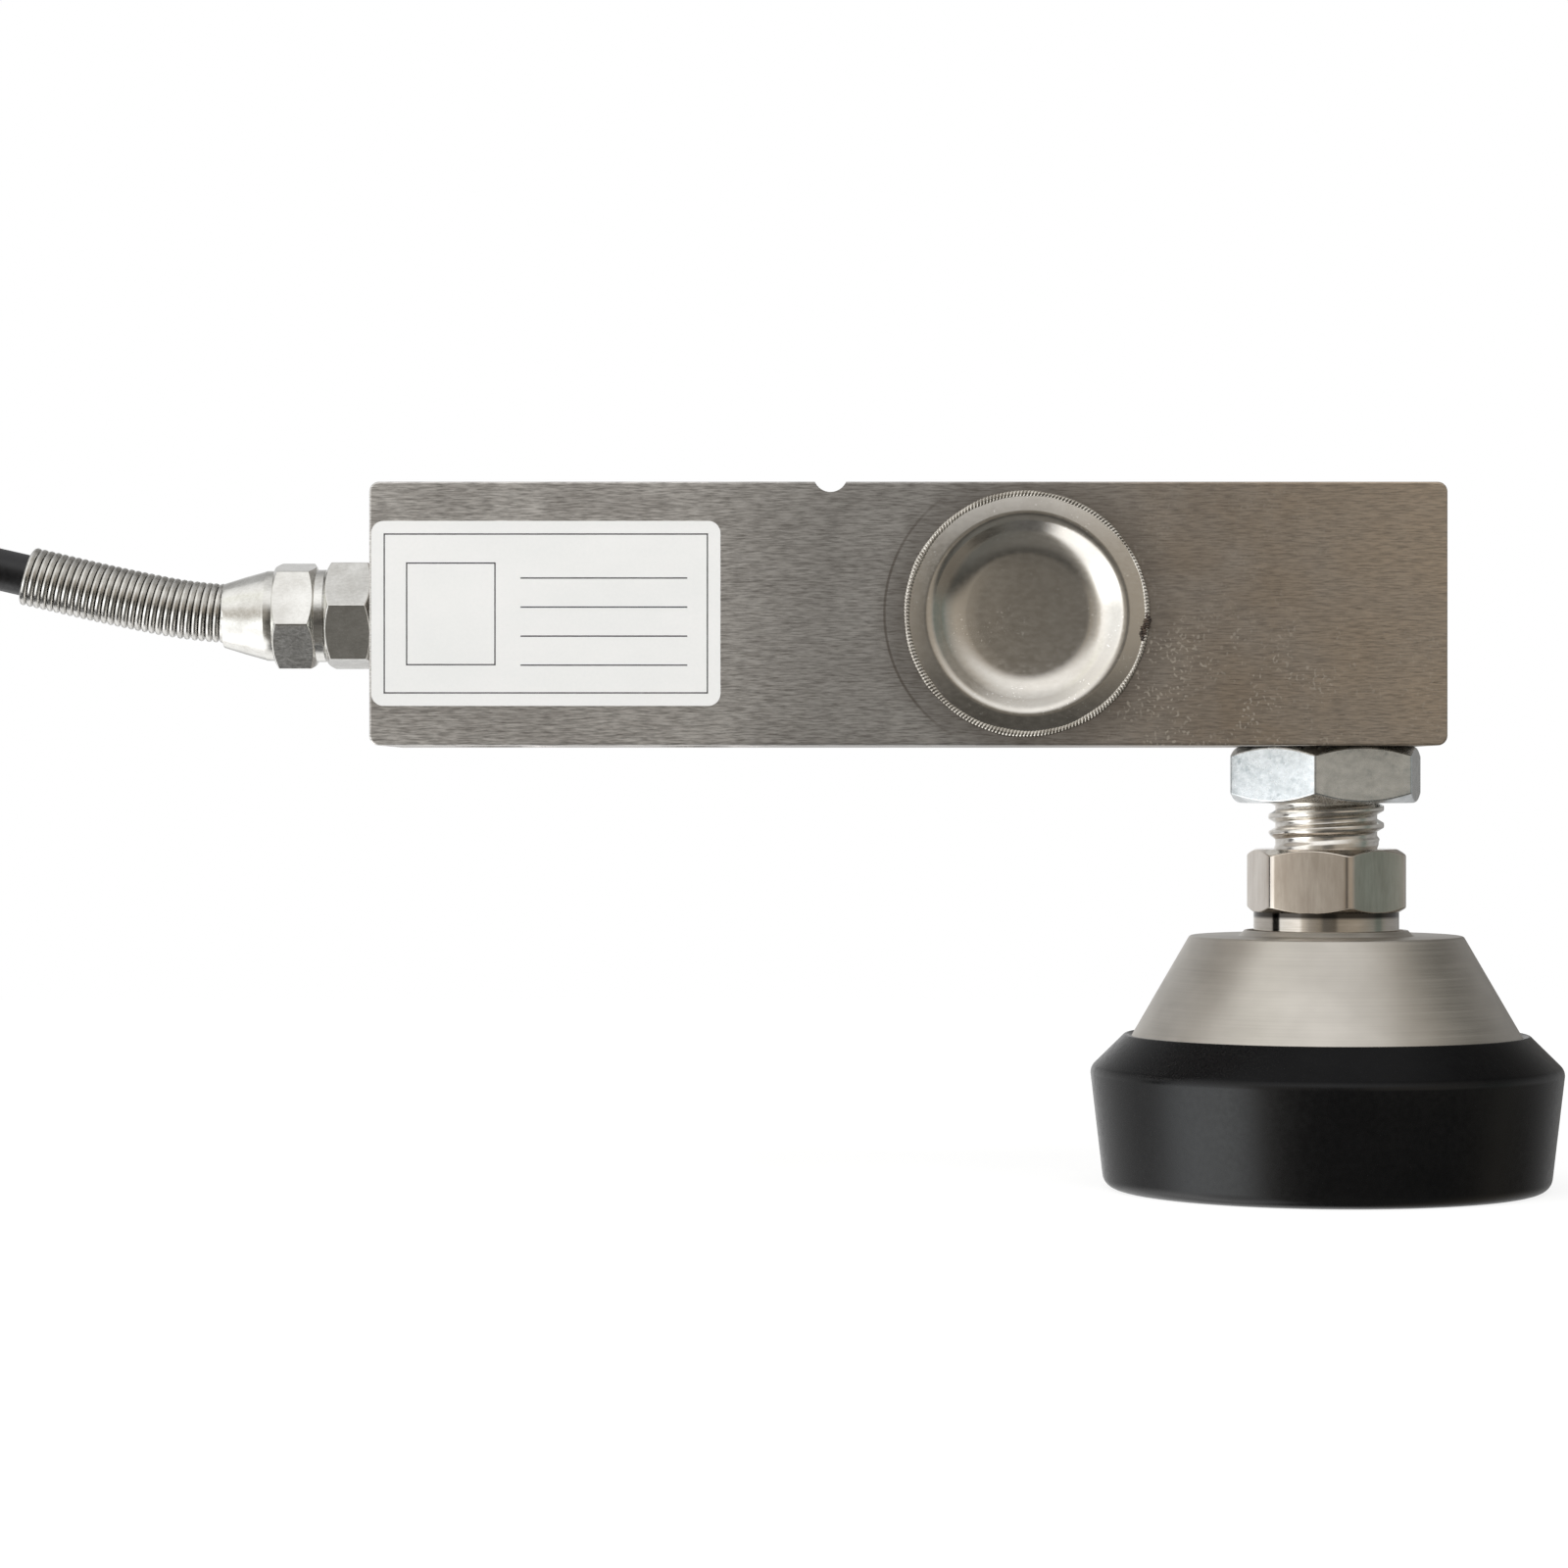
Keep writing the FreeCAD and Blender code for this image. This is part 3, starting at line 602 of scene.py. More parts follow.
# Plated hexagon of the stud: bright, with faint drawing marks up its faces
HEX_STEEL = Finish(
    "bright_drawn_steel",
    "#c9bfb4",
    "#dcd4ca",
    metallic=1.0,
    gloss=(0.1, 0.16),
    broad=Marks((2.2, 2.2, 5.0), 3.0),
    fine=Marks((0.5, 0.5, 3.0), 2.0),
    relief=0.0004,
)
# Turned and plated stud: close to a mirror, which shows the room as upright stripes, with painted shade
# under the hexagon
STUD_STEEL = TurnedNeck(
    "bright_turned_steel",
    "#b9b2a8",
    "#c8c1b8",
    metallic=1.0,
    gloss=(0.07, 0.12),
    broad=Marks((3.0, 3.0, 0.5), 3.0),
    fine=Marks((6.0, 6.0, 0.16), 2.0),
    relief=0.0006,
)
# Rolled thread, plated: brighter than the neck on its worn crests, and a little softer
THREAD_STEEL = Finish(
    "rolled_plated_thread",
    "#d3cec6",
    "#ece8e2",
    metallic=1.0,
    gloss=(0.14, 0.22),
    broad=Marks((2.0, 2.0, 0.8), 3.0),
    fine=Marks((0.8, 0.8, 0.3), 2.0),
    relief=0.001,
)
# Turned steel: fine rings round the cone, satin
BASE_STEEL = Finish(
    "turned_satin_steel",
    "#b8b3ab",
    "#cbc6be",
    metallic=1.0,
    gloss=(0.34, 0.44),
    broad=Marks((9.0, 9.0, 5.0), 3.0),
    fine=Marks((30.0, 30.0, 0.24), 3.0, 0.6),
    fine_share=0.4,
    relief=0.0015,
)
# Moulded black rubber, a little dusty, with a fine skin
PAD_RUBBER = MouldedRubber(
    "moulded_black_rubber",
    "#0a0a0b",
    "#0f0f10",
    gloss=(0.22, 0.3),
    specular=0.36,
    broad=Marks((6.0, 6.0, 4.0), 4.0, 0.6),
    fine=Marks((0.7, 0.7, 0.7), 2.0),
    relief=0.00012,
)
# Black polyurethane jacket: satin, slightly uneven along its length
JACKET = Finish(
    "black_polyurethane_jacket",
    "#0e0e10",
    "#161618",
    gloss=(0.3, 0.42),
    broad=Marks((6.0, 6.0, 6.0), 2.0),
    fine=Marks((0.6, 0.6, 0.6), 2.0),
    relief=0.01,
)
# White polyester label film: satin and a little uneven
LABEL_FILM = Finish(
    "white_label_film",
    "#f1f2f1",
    "#f6f6f5",
    gloss=(0.42, 0.52),
    broad=Marks((9.0, 9.0, 6.0), 3.0),
    fine=Marks((0.4, 0.4, 0.4), 2.0),
    relief=0.003,
)
# Thermal print: soft grey that has lost a little ink
PRINT = Finish(
    "thermal_print",
    "#3c3c3e",
    "#5a5a5d",
    gloss=(0.45, 0.55),
    broad=Marks((1.2, 1.2, 0.8), 3.0),
    fine=Marks((0.25, 0.25, 0.25), 2.0),
)
# Moulded nylon: milky white with a waxy sheen
TIE_NYLON = Finish(
    "natural_nylon_tie",
    "#d9d6cb",
    "#e6e3da",
    gloss=(0.35, 0.45),
    fine=Marks((0.6, 0.6, 0.6)),
)
# Tinned strands: dull silver
TINNED = Finish("tinned_copper_strands", "#b0aca4", "#cbc8c1", metallic=1.0, gloss=(0.25, 0.4))
# Nitrile rubber: dull black
SEAL = Finish("nitrile_seal", "#161617", "#212122", gloss=(0.5, 0.65))
# Sintered bronze: warm and a little oily
BRONZE = Finish("sintered_bronze", "#8f6d38", "#a9854a", metallic=1.0, gloss=(0.35, 0.5))
# Gauge film: amber with a smooth skin
FOIL = Finish("gauge_film_amber", "#a86c22", "#c58a35", gloss=(0.3, 0.4))
# Glass laminate under green lacquer: satin
BOARD = Finish("green_glass_laminate", "#1a5a2c", "#246b38", gloss=(0.3, 0.42))
# Ceramic chips under black glaze: satin
CHIP = Finish("resistor_ceramic_black", "#1b1b1c", "#2a2a2b", gloss=(0.35, 0.5))
# Copper under clear enamel: glossy red-brown
COPPER = Finish("enamelled_copper_wire", "#9c5a30", "#b87242", metallic=1.0, gloss=(0.25, 0.35))


def skin(name: str, points: np.ndarray, wrap_rows: bool = False, wrap_columns: bool = True) -> Thing:
    """Make a closed mesh object from a grid of points.

    Neighbouring rows and columns are joined by quads; points that coincide, as at a pole, are merged,
    and the faces are turned outwards.

    Args:
        name: object's name.
        points: array of rows, columns and xyz in metres.
        wrap_rows: whether the last row joins the first.
        wrap_columns: whether the last column joins the first.

    Returns:
        The new object, linked to the scene.
    """
    rows, columns = points.shape[:2]
    index = np.arange(rows * columns).reshape(rows, columns)
    if wrap_rows:
        index = np.vstack([index, index[:1]])
    if wrap_columns:
        index = np.hstack([index, index[:, :1]])
    quads = np.stack([index[:-1, :-1], index[1:, :-1], index[1:, 1:], index[:-1, 1:]], -1).reshape(-1, 4)
    return mesh_object(name, points.reshape(-1, 3), quads)


def mesh_object(name: str, vertices: np.ndarray, faces: np.ndarray) -> Thing:
    """Make an object of vertices and faces, merged, facing outwards and smooth over shallow edges.

    Args:
        name: object's name.
        vertices: xyz in metres.
        faces: vertex numbers of each face.

    Returns:
        The new object, linked to the scene.
    """
    mesh = bpy.data.meshes.new(name)
    mesh.from_pydata(vertices.tolist(), [], faces.tolist())
    work = bmesh.new()
    work.from_mesh(mesh)
    bmesh.ops.remove_doubles(work, verts=work.verts, dist=MERGE_GAP)
    bmesh.ops.recalc_face_normals(work, faces=work.faces)
    work.to_mesh(mesh)
    work.free()
    mesh.polygons.foreach_set("use_smooth", np.ones(len(mesh.polygons), bool))
    mesh.set_sharp_from_angle(angle=math.radians(CREASE_DEG))
    return linked(name, mesh)


def soften(piece: Thing, width: float, segments: int = 2, angle: float = 30.0) -> Thing:
    """Round a piece's sharp edges.

    Args:
        piece: object to round.
        width: bevel width in mm.
        segments: faces across the bevel.
        angle: angle in degrees from which an edge is rounded.

    Returns:
        The same object.
    """
    bevel = piece.modifiers.new("edge_break", "BEVEL")
    bevel.width = width * MM
    bevel.segments = segments
    bevel.limit_method = "ANGLE"
    bevel.angle_limit = math.radians(angle)
    bevel.harden_normals = True
    return piece


def rounded(corners: Sequence[Spot], steps: int = 7) -> np.ndarray:
    """Round the corners of a profile.

    Each corner is replaced by the arc of its radius that touches both runs: the arc's middle lies on the
    corner's bisector, and its ends are radius / tan(half the corner's angle) from the corner.

    Args:
        corners: (radius, height, rounding) of each corner in mm; a rounding of 0 stays sharp.
        steps: points on each arc.

    Returns:
        Array of (radius, height) in mm.
    """
    spots = np.array([c[:2] for c in corners], float)
    parts = [spots[:1]]
    for before, here, after, bend in zip(spots, spots[1:], spots[2:], [c[2] for c in corners[1:-1]]):
        if bend <= 0:
            parts.append(here[None])
            continue
        u = (before - here) / np.linalg.norm(before - here)
        v = (after - here) / np.linalg.norm(after - here)
        half = math.acos(float(np.clip(u @ v, -1, 1))) / 2
        middle = here + (u + v) / np.linalg.norm(u + v) * bend / math.sin(half)
        start = here + u * bend / math.tan(half) - middle
        turn = math.copysign(math.pi - 2 * half, u[1] * v[0] - u[0] * v[1])
        angles = np.linspace(0, turn, steps)
        arc = np.stack(
            [
                start[0] * np.cos(angles) - start[1] * np.sin(angles),
                start[0] * np.sin(angles) + start[1] * np.cos(angles),
            ],
            -1,
        )
        parts.append(middle + arc)
    parts.append(spots[-1:])
    return np.concatenate(parts)


def lathe(profile: np.ndarray, columns: int = 192) -> np.ndarray:
    """Turn a profile about a vertical axis: x = r cos a, y = r sin a, z = height.

    Args:
        profile: (radius, height) in mm.
        columns: points round the axis.

    Returns:
        Grid of points in mm about the axis.
    """
    a = np.linspace(0, 2 * math.pi, columns, endpoint=False)
    r, z = profile[:, :1], profile[:, 1:]
    return np.stack([r * np.cos(a), r * np.sin(a), z + 0 * a], -1)


def hex_outline(
    across: float, corner_r: float, turn: float, crown: float = 0.0, arc: int = 7, flat: int = 10
) -> np.ndarray:
    """The outline of a hexagon with rounded corners.

    It is a smaller hexagon's corners, each grown by a 60 degree arc of the corner radius, with points
    spread evenly along the flats between the arcs. The arcs sink towards the axis by the crown, which fades
    to nothing at the middle of each flat as a parabola. The first corner points turn degrees from -Y
    towards +X.

    Args:
        across: width across the flats in mm.
        corner_r: radius of the corners in mm.
        turn: angle of the first corner in degrees.
        crown: height in mm by which the middle of a flat stands over its ends.
        arc: points on each corner.
        flat: points on each flat.

    Returns:
        Array of (x, y) in mm, counter-clockwise from above.
    """
    middle = np.radians(turn + 60.0 * np.arange(6))
    inner = (across / 2 - crown - corner_r) * 2 / math.sqrt(3)
    hubs = inner * np.stack([np.sin(middle), -np.cos(middle)], -1)
    swing = middle[:, None] + np.radians(np.linspace(-30, 30, arc))
    arcs = hubs[:, None] + corner_r * np.stack([np.sin(swing), -np.cos(swing)], -1)
    share = np.linspace(0, 1, flat + 2)[1:-1, None]
    flats = arcs[:, -1:] * (1 - share) + np.roll(arcs, -1, 0)[:, :1] * share
    facing = middle + math.pi / 6
    swell = crown * 4 * share * (1 - share)
    flats = flats + swell * np.stack([np.sin(facing), -np.cos(facing)], -1)[:, None]
    return np.concatenate([arcs, flats], 1).reshape(-1, 2)


@dataclass(frozen=True)
class HexRows:
    """A hexagon with a turned chamfer at both ends, and the circles that run on from it, along one axis."""

    across: float
    turn: float
    corner_r: float = 0.25
    crown: float = 0.0
    chamfer_deg: float = 30.0
    chamfer_share: float = 0.97

    def grid(self, ends: Span, before: Sequence[Span], after: Sequence[Span]) -> np.ndarray:
        """Lay out the rows: circles, the hexagon's two ends with their chamfers, and circles again.

        A circle's row keeps its radius. An end of the hexagon follows the outline, and its height draws in
        from the end face by (distance from the axis - chamfer start) times the chamfer's tangent, which cuts
        the turned chamfer's curves into the flats.

        Args:
            ends: heights of the hexagon's lower and upper end faces in mm.
            before: (radius, height) in mm of the circles that lead to the lower end.
            after: (radius, height) in mm of the circles that lead on from the upper end.

        Returns:
            Grid of (x, y, z) in mm about the axis.
        """
        low, high = ends
        outline = hex_outline(self.across, self.corner_r, self.turn, self.crown)
        reach = np.linalg.norm(outline, axis=1)
        way = outline / reach[:, None]
        start = self.across / 2 * self.chamfer_share
        drop = (reach - start) * math.tan(math.radians(self.chamfer_deg))
        level = np.ones_like(reach)
        rows = [(level * r, level * z) for r, z in (*before, (start, low))]
        rows += [(reach, low + drop), (reach, high - drop)]
        rows += [(level * r, level * z) for r, z in ((start, high), *after)]
        return np.stack([np.column_stack([way * r[:, None], z]) for r, z in rows])


@dataclass
class Dresser:
    """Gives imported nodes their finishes."""

    nodes: dict[str, Thing]
    merge_mm: float = 0.001
    crease_deg: float = 32.0

    def dress(self, node: str, finish: Finish) -> Thing:
        """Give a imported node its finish, merged and smooth over shallow edges.

        Args:
            node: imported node's name.
            finish: finish to give it.

        Returns:
            The node's object.
        """
        piece = self.nodes[node]
        piece.data.materials.clear()
        piece.data.materials.append(finish.material())
        merge = piece.modifiers.new("merge", "WELD")
        merge.merge_threshold = self.merge_mm * MM
        split = piece.modifiers.new("crease", "EDGE_SPLIT")
        split.split_angle = math.radians(self.crease_deg)
        LOG.info("dressed %s", node)
        return piece


def place(piece: Thing, body: str, finish: Finish, slot: str, *nodes: str) -> Thing:
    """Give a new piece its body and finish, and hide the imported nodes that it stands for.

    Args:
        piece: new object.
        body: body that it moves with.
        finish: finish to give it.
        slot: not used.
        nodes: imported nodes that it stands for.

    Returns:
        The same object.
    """
    piece.data.materials.append(finish.material())
    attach(piece, body)
    if nodes:
        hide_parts(*nodes)
    LOG.info("built %s", piece.name)
    return piece


class Tone(Enum):
    """Tints of the room's light, as factors on its red, green and blue."""

    PLAIN = (1.0, 1.0, 1.0)
    COOL = (0.97, 1.0, 1.02)
    WARM = (1.05, 1.0, 0.92)
    BROWN = (1.1, 1.0, 0.86)
    OLIVE = (1.0, 1.01, 0.95)
    LEAF = (0.86, 1.0, 0.93)


@dataclass(frozen=True)
class RoomRing:
    """Light round the room by azimuth, from behind over the left, the front and the right.

    It takes over from the ring below as the height of a ray's direction goes from low to high. Each of its
    lights is an azimuth in degrees, a level and a tint.
    """

    low: float
    high: float
    lights: tuple[tuple[float, float, Tone], ...]

    def field(self, tree: Tree, share: Socket, full: float) -> Socket:
        """Add the ring's light.

        Args:
            tree: node tree that takes it.
            share: place round the ring, 0 to 1.
            full: level that counts as 1.

        Returns:
            The light's colour as a share of the full level.
        """
        ramp = add(tree, "ValToRGB", {0: share})
        stops = ramp.color_ramp.elements
        azimuths, levels, tones = zip(*self.lights)
        colours = [[min(v * c / full, 1.0) for c in tone.value] + [1.0] for v, tone in zip(levels, tones)]
        stops[0].color, stops[1].color = colours[0], colours[-1]
        for azimuth, colour in zip(azimuths[1:-1], colours[1:-1]):
            stops.new((azimuth + 180.0) / 360.0).color = colour
        return ramp.outputs[0]


PLAIN, COOL, WARM, BROWN, OLIVE, LEAF = Tone

# A room whose left side is bright and whose right side is dark and warm, from its floor up to its ceiling;
# the metal mirrors it as broad soft bands
ROOM = (
    RoomRing(-1.0, -1.0, ((-180, 0.13, PLAIN), (180, 0.13, PLAIN))),
    RoomRing(
        -0.985,
        -0.93,
        (
            (-180, 1.2, PLAIN), (-128, 1.25, PLAIN), (-112, 1.96, PLAIN), (-98, 2.35, PLAIN),
            (-78, 1.8, PLAIN), (-47, 1.35, PLAIN), (-36, 0.38, WARM), (-24, 0.19, WARM), (60, 0.16, OLIVE),
            (80, 0.2, BROWN), (110, 0.32, BROWN), (150, 0.5, PLAIN), (168, 1.2, PLAIN), (180, 1.2, PLAIN),
        ),
    ),
    RoomRing(
        -0.6,
        -0.3,
        (
            (-180, 0.7, PLAIN), (-165, 0.5, PLAIN), (-112, 0.5, PLAIN), (-100, 0.8, PLAIN), (-90, 1.7, COOL),
            (-80, 2.5, COOL), (-57, 2.8, COOL), (-47, 2.2, COOL), (-40, 0.8, WARM), (-33, 0.35, WARM),
            (-16, 0.08, WARM), (60, 0.07, OLIVE), (76, 0.122, BROWN), (88, 0.25, BROWN), (99, 0.13, BROWN),
            (110, 0.11, WARM), (145, 0.3, PLAIN), (168, 0.5, PLAIN), (180, 0.7, PLAIN),
        ),
    ),
    RoomRing(
        -0.22,
        -0.04,
        (
            (-180, 0.95, PLAIN), (-166, 0.78, PLAIN), (-106, 0.6, PLAIN), (-99, 0.36, PLAIN),
            (-92, 0.36, COOL), (-88, 1.31, COOL), (-50, 1.5, PLAIN), (-45, 0.8, WARM), (-40, 0.66, WARM),
            (-34, 0.45, WARM), (-17, 0.33, BROWN), (-11, 0.17, WARM), (7, 0.16, BROWN), (13, 0.39, BROWN),
            (42, 0.45, BROWN), (72, 0.34, OLIVE), (80, 0.25, LEAF), (88, 0.25, LEAF), (95, 0.355, OLIVE),
            (107, 0.4, PLAIN), (145, 0.38, PLAIN), (162, 0.2, WARM), (176, 0.25, PLAIN), (178, 0.95, PLAIN),
            (180, 0.95, PLAIN),
        ),
    ),
    RoomRing(
        0.2,
        0.55,
        (
            (-180, 0.5, PLAIN), (-130, 0.5, PLAIN), (-100, 1.2, PLAIN), (-72, 1.32, PLAIN),
            (-62, 1.25, OLIVE), (-45, 1.25, PLAIN), (0, 1.26, PLAIN), (28, 1.05, PLAIN), (58, 0.58, WARM),
            (78, 0.38, WARM), (93, 0.18, OLIVE), (118, 0.15, WARM), (150, 0.18, WARM), (172, 0.45, PLAIN),
            (180, 0.5, PLAIN),
        ),
    ),
    RoomRing(0.8, 0.97, ((-180, 0.88, PLAIN), (180, 0.88, PLAIN))),
)


@dataclass
class Studio:
    """Camera, floor and soft light."""

    camera_at: Spot = (21.5, -515.9, -36.45)
    lens: float = 95.25
    sensor: float = 36.0
    floor_z: float = -86.7
    floor_x: Span = (-470.0, 430.0)
    floor_y: Span = (-450.0, 450.0)
    floor_tones: tuple[str, str] = ("#7e7e7d", "#858584")
    floor_marks: Marks = Marks((30.0, 30.0, 30.0), 2.0)
    floor_levels: Span = (0.3, 0.7)
    floor_glow: float = 0.84
    backdrop_y: Span = (0.96, 0.99)
    room_gain: float = 2.8
    key_at: Spot = (-330.0, -760.0, 640.0)
    key_aim: Spot = (20.0, 0.0, -40.0)
    key_wide: float = 1300.0
    key_watts: float = 9.0

    def camera(self) -> None:
        """Set the camera level, looking along +Y."""
        data = bpy.data.cameras.new("camera")
        data.lens = self.lens
        data.sensor_width = self.sensor
        eye = linked("camera", data)
        eye.location = [c * MM for c in self.camera_at]
        eye.rotation_euler = (math.pi / 2, 0, 0)
        bpy.context.scene.camera = eye

    def floor(self) -> None:
        """Lay a pale floor that takes the shadow, joins the white behind it and isn't mirrored in metal."""
        x, y, z = np.array(self.floor_x) * MM, np.array(self.floor_y) * MM, self.floor_z * MM
        corners = np.array([[x[0], y[0], z], [x[1], y[0], z], [x[1], y[1], z], [x[0], y[1], z]])
        mesh = bpy.data.meshes.new("floor")
        mesh.from_pydata(corners.tolist(), [], [(0, 1, 2, 3)])
        sheet = linked("floor", mesh)
        paint = bpy.data.materials.new("pale_floor")
        tree = bare_tree(paint)
        share = spread(tree, self.floor_marks.field(tree), *self.floor_levels)
        dark, light = [linear(code) for code in self.floor_tones]
        matt = add(tree, "BsdfDiffuse", {"Color": blend(tree, share, dark, light)})
        rays = add(tree, "LightPath").outputs
        glow = add(tree, "Emission", {"Strength": times(tree, rays["Is Camera Ray"], self.floor_glow)})
        sheet_side = add(tree, "AddShader", {0: matt.outputs[0], 1: glow.outputs[0]})
        open_side = add(tree, "BsdfTransparent")
        both = add(
            tree,
            "MixShader",
            {0: self.mirrored(tree), 1: sheet_side.outputs[0], 2: open_side.outputs[0]},
        )
        add(tree, "OutputMaterial", {"Surface": both.outputs[0]})
        mesh.materials.append(paint)

    @staticmethod
    def mirrored(tree: Tree) -> Socket:
        """Give 1 for rays that metal or glass sends on, and 0 for the rest."""
        rays = add(tree, "LightPath").outputs
        return reckon(tree, "MAXIMUM", rays["Is Glossy Ray"], rays["Is Transmission Ray"])

    def world(self) -> None:
        """Set a white backdrop behind the object, and a soft-lit room round it.

        The room's rings lie above each other. Each runs by the azimuth atan2(x, -y) of the ray, and the
        ray's height z mixes them.
        """
        world = bpy.data.worlds.new("studio")
        bpy.context.scene.world = world
        tree = bare_tree(world)
        way = add(tree, "TexCoord").outputs["Generated"]
        x, y, z = add(tree, "SeparateXYZ", {0: way}).outputs
        azimuth = reckon(tree, "ARCTAN2", x, times(tree, y, -1.0))
        share = spread(tree, azimuth, -math.pi, math.pi)
        room = ROOM[0].field(tree, share, self.room_gain)
        for ring in ROOM[1:]:
            light = ring.field(tree, share, self.room_gain)
            room = blend(tree, spread(tree, z, ring.low, ring.high), room, light)
        soft = add(tree, "VectorMath", {0: room, "Scale": self.room_gain}, operation="SCALE")
        behind = times(tree, self.mirrored(tree), spread(tree, y, *self.backdrop_y))
        seen = add(tree, "LightPath").outputs["Is Camera Ray"]
        white = reckon(tree, "MAXIMUM", seen, behind)
        shown = blend(tree, white, soft.outputs[0], linear("#ffffff"))
        back = add(tree, "Background", {"Color": shown, "Strength": 1.0})
        add(tree, "OutputWorld", {"Surface": back.outputs[0]})

    def key(self) -> None:
        """Hang a soft square lamp at the upper left that lights without showing in the metal."""
        data = bpy.data.lights.new("key", "AREA")
        data.shape = "SQUARE"
        data.size = self.key_wide * MM
        data.energy = self.key_watts
        lamp = linked("key", data)
        lamp.location = [c * MM for c in self.key_at]
        way = Vector(self.key_aim) - Vector(self.key_at)
        lamp.rotation_euler = way.to_track_quat("-Z", "Y").to_euler()
        lamp.visible_glossy = False

    def build(self) -> None:
        """Set up everything round the object."""
        self.camera()
        self.floor()
        self.world()
        self.key()
        bpy.context.scene.view_settings.view_transform = "Standard"


@dataclass
class Cable:
    """The jacketed cable, from inside the gland to its stripped end on the coil.

    The route's points are distances in mm out of the gland's mouth, above it, and from it towards +Y.
    """

    diameter: float = 5.2
    length: float = 3000.0
    mouth: Spot = (-46.9, -8.4, -15.9)
    route: tuple[Spot, ...] = (
        (-10.0, 0.0, 0.0), (1.0, 0.0, 0.0), (12.8, 2.25, 0.0), (25.3, 5.2, 0.0), (46.0, 9.8, -1.5),
        (66.0, 1.5, -5.0), (77.0, -15.5, -8.5), (94.0, -25.4, -12.0), (112.0, -25.4, -12.25),
    )
    coil_at: Span = (-158.9, 10.0)
    columns: Span = (30.65, 25.35)
    bottom: float = -83.6
    top: float = -41.3
    pitch: float = 5.3
    layers: int = 8
    first_deg: float = 270.0
    tail_turns: float = 1 / 3
    move_turns: float = 0.25
    points_a_turn: int = 16
    spline_order: int = 3
    spline_steps: int = 8
    round_steps: int = 5

    def run_points(self) -> np.ndarray:
        """Give the route's points from the gland to the top of the coil, as xyz in mm."""
        out, up, side = np.array(self.route).T
        return np.column_stack([-out, side, up]) + self.mouth

    def coil_points(self) -> np.ndarray:
        """Give the coil's turns: down the outer column from the top, then up the inner one to the tail.

        Going round clockwise from the first angle, each turn moves over in its first part: down or up to the
        next layer, or in to the next column. Control points stand out by 1 / cos(half their step), which
        puts the spline itself on the turn's radius.

        Returns:
            Array of xyz in mm.
        """
        n = self.layers
        levels = self.bottom + np.arange(n) * self.pitch
        outer, inner = self.columns
        radius = np.concatenate([np.full(n + 1, outer), np.full(n + 1, inner)])
        height = np.concatenate([[self.top], levels[::-1], levels, [self.top]])
        end = 2 * n + self.tail_turns
        steps = np.arange(1, math.ceil(end * self.points_a_turn))
        swept = np.append(steps / self.points_a_turn, end)
        turn = np.floor(swept).astype(int)
        move = np.clip((swept - turn) / self.move_turns, 0, 1)
        move = move * move * (3 - 2 * move)
        r = radius[turn] + (radius[turn + 1] - radius[turn]) * move
        z = height[turn] + (height[turn + 1] - height[turn]) * move
        a = np.radians(self.first_deg) - 2 * math.pi * swept
        stand = r / np.where(swept < end, math.cos(math.pi / self.points_a_turn), 1.0)
        return np.column_stack([self.coil_at[0] + stand * np.cos(a), self.coil_at[1] + stand * np.sin(a), z])

    def curve(self, name: str, bevel: float) -> Thing:
        """Draw one NURBS spline along the run and the coil.

        Args:
            name: object's name.
            bevel: radius of the tube in mm, or 0 for the bare line.

        Returns:
            The curve object, linked to the scene.
        """
        points = np.concatenate([self.run_points(), self.coil_points()]) * MM
        data = bpy.data.curves.new(name, "CURVE")
        data.dimensions = "3D"
        data.bevel_depth = bevel * MM
        data.bevel_resolution = self.round_steps
        data.use_fill_caps = bevel > 0
        spline = data.splines.new("NURBS")
        spline.points.add(len(points) - 1)
        spline.points.foreach_set("co", np.column_stack([points, np.ones(len(points))]).ravel())
        spline.order_u = self.spline_order
        spline.use_endpoint_u = True
        spline.resolution_u = self.spline_steps
        data.resolution_u = self.spline_steps
        return linked(name, data)

    def line(self) -> np.ndarray:
        """Read points from the spline itself, in order from the gland.

        Returns:
            Array of xyz in metres.
        """
        bare = self.curve("route", 0.0)
        mesh = bpy.data.meshes.new_from_object(bare)
        points = np.empty(len(mesh.vertices) * 3)
        mesh.vertices.foreach_get("co", points)
        bpy.data.objects.remove(bare)
        bpy.data.meshes.remove(mesh)
        return points.reshape(-1, 3)

    def build(self, dresser: Dresser) -> None:
        """Lay the cable and dress the tie and the leads on it.

        Args:
            dresser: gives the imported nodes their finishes.
        """
        jacket = self.curve("cable_jacket", self.diameter / 2)
        place(jacket, "load_cell", JACKET, "cable_jacket", "cable_run", "cable_coil", "cable_tail")
        pieces = [dresser.dress("coil_tie", TIE_NYLON), dresser.dress("lead_tips", TINNED)]
        pieces += [dresser.dress(f"lead_{colour.word}", colour.finish()) for colour in LeadColour]


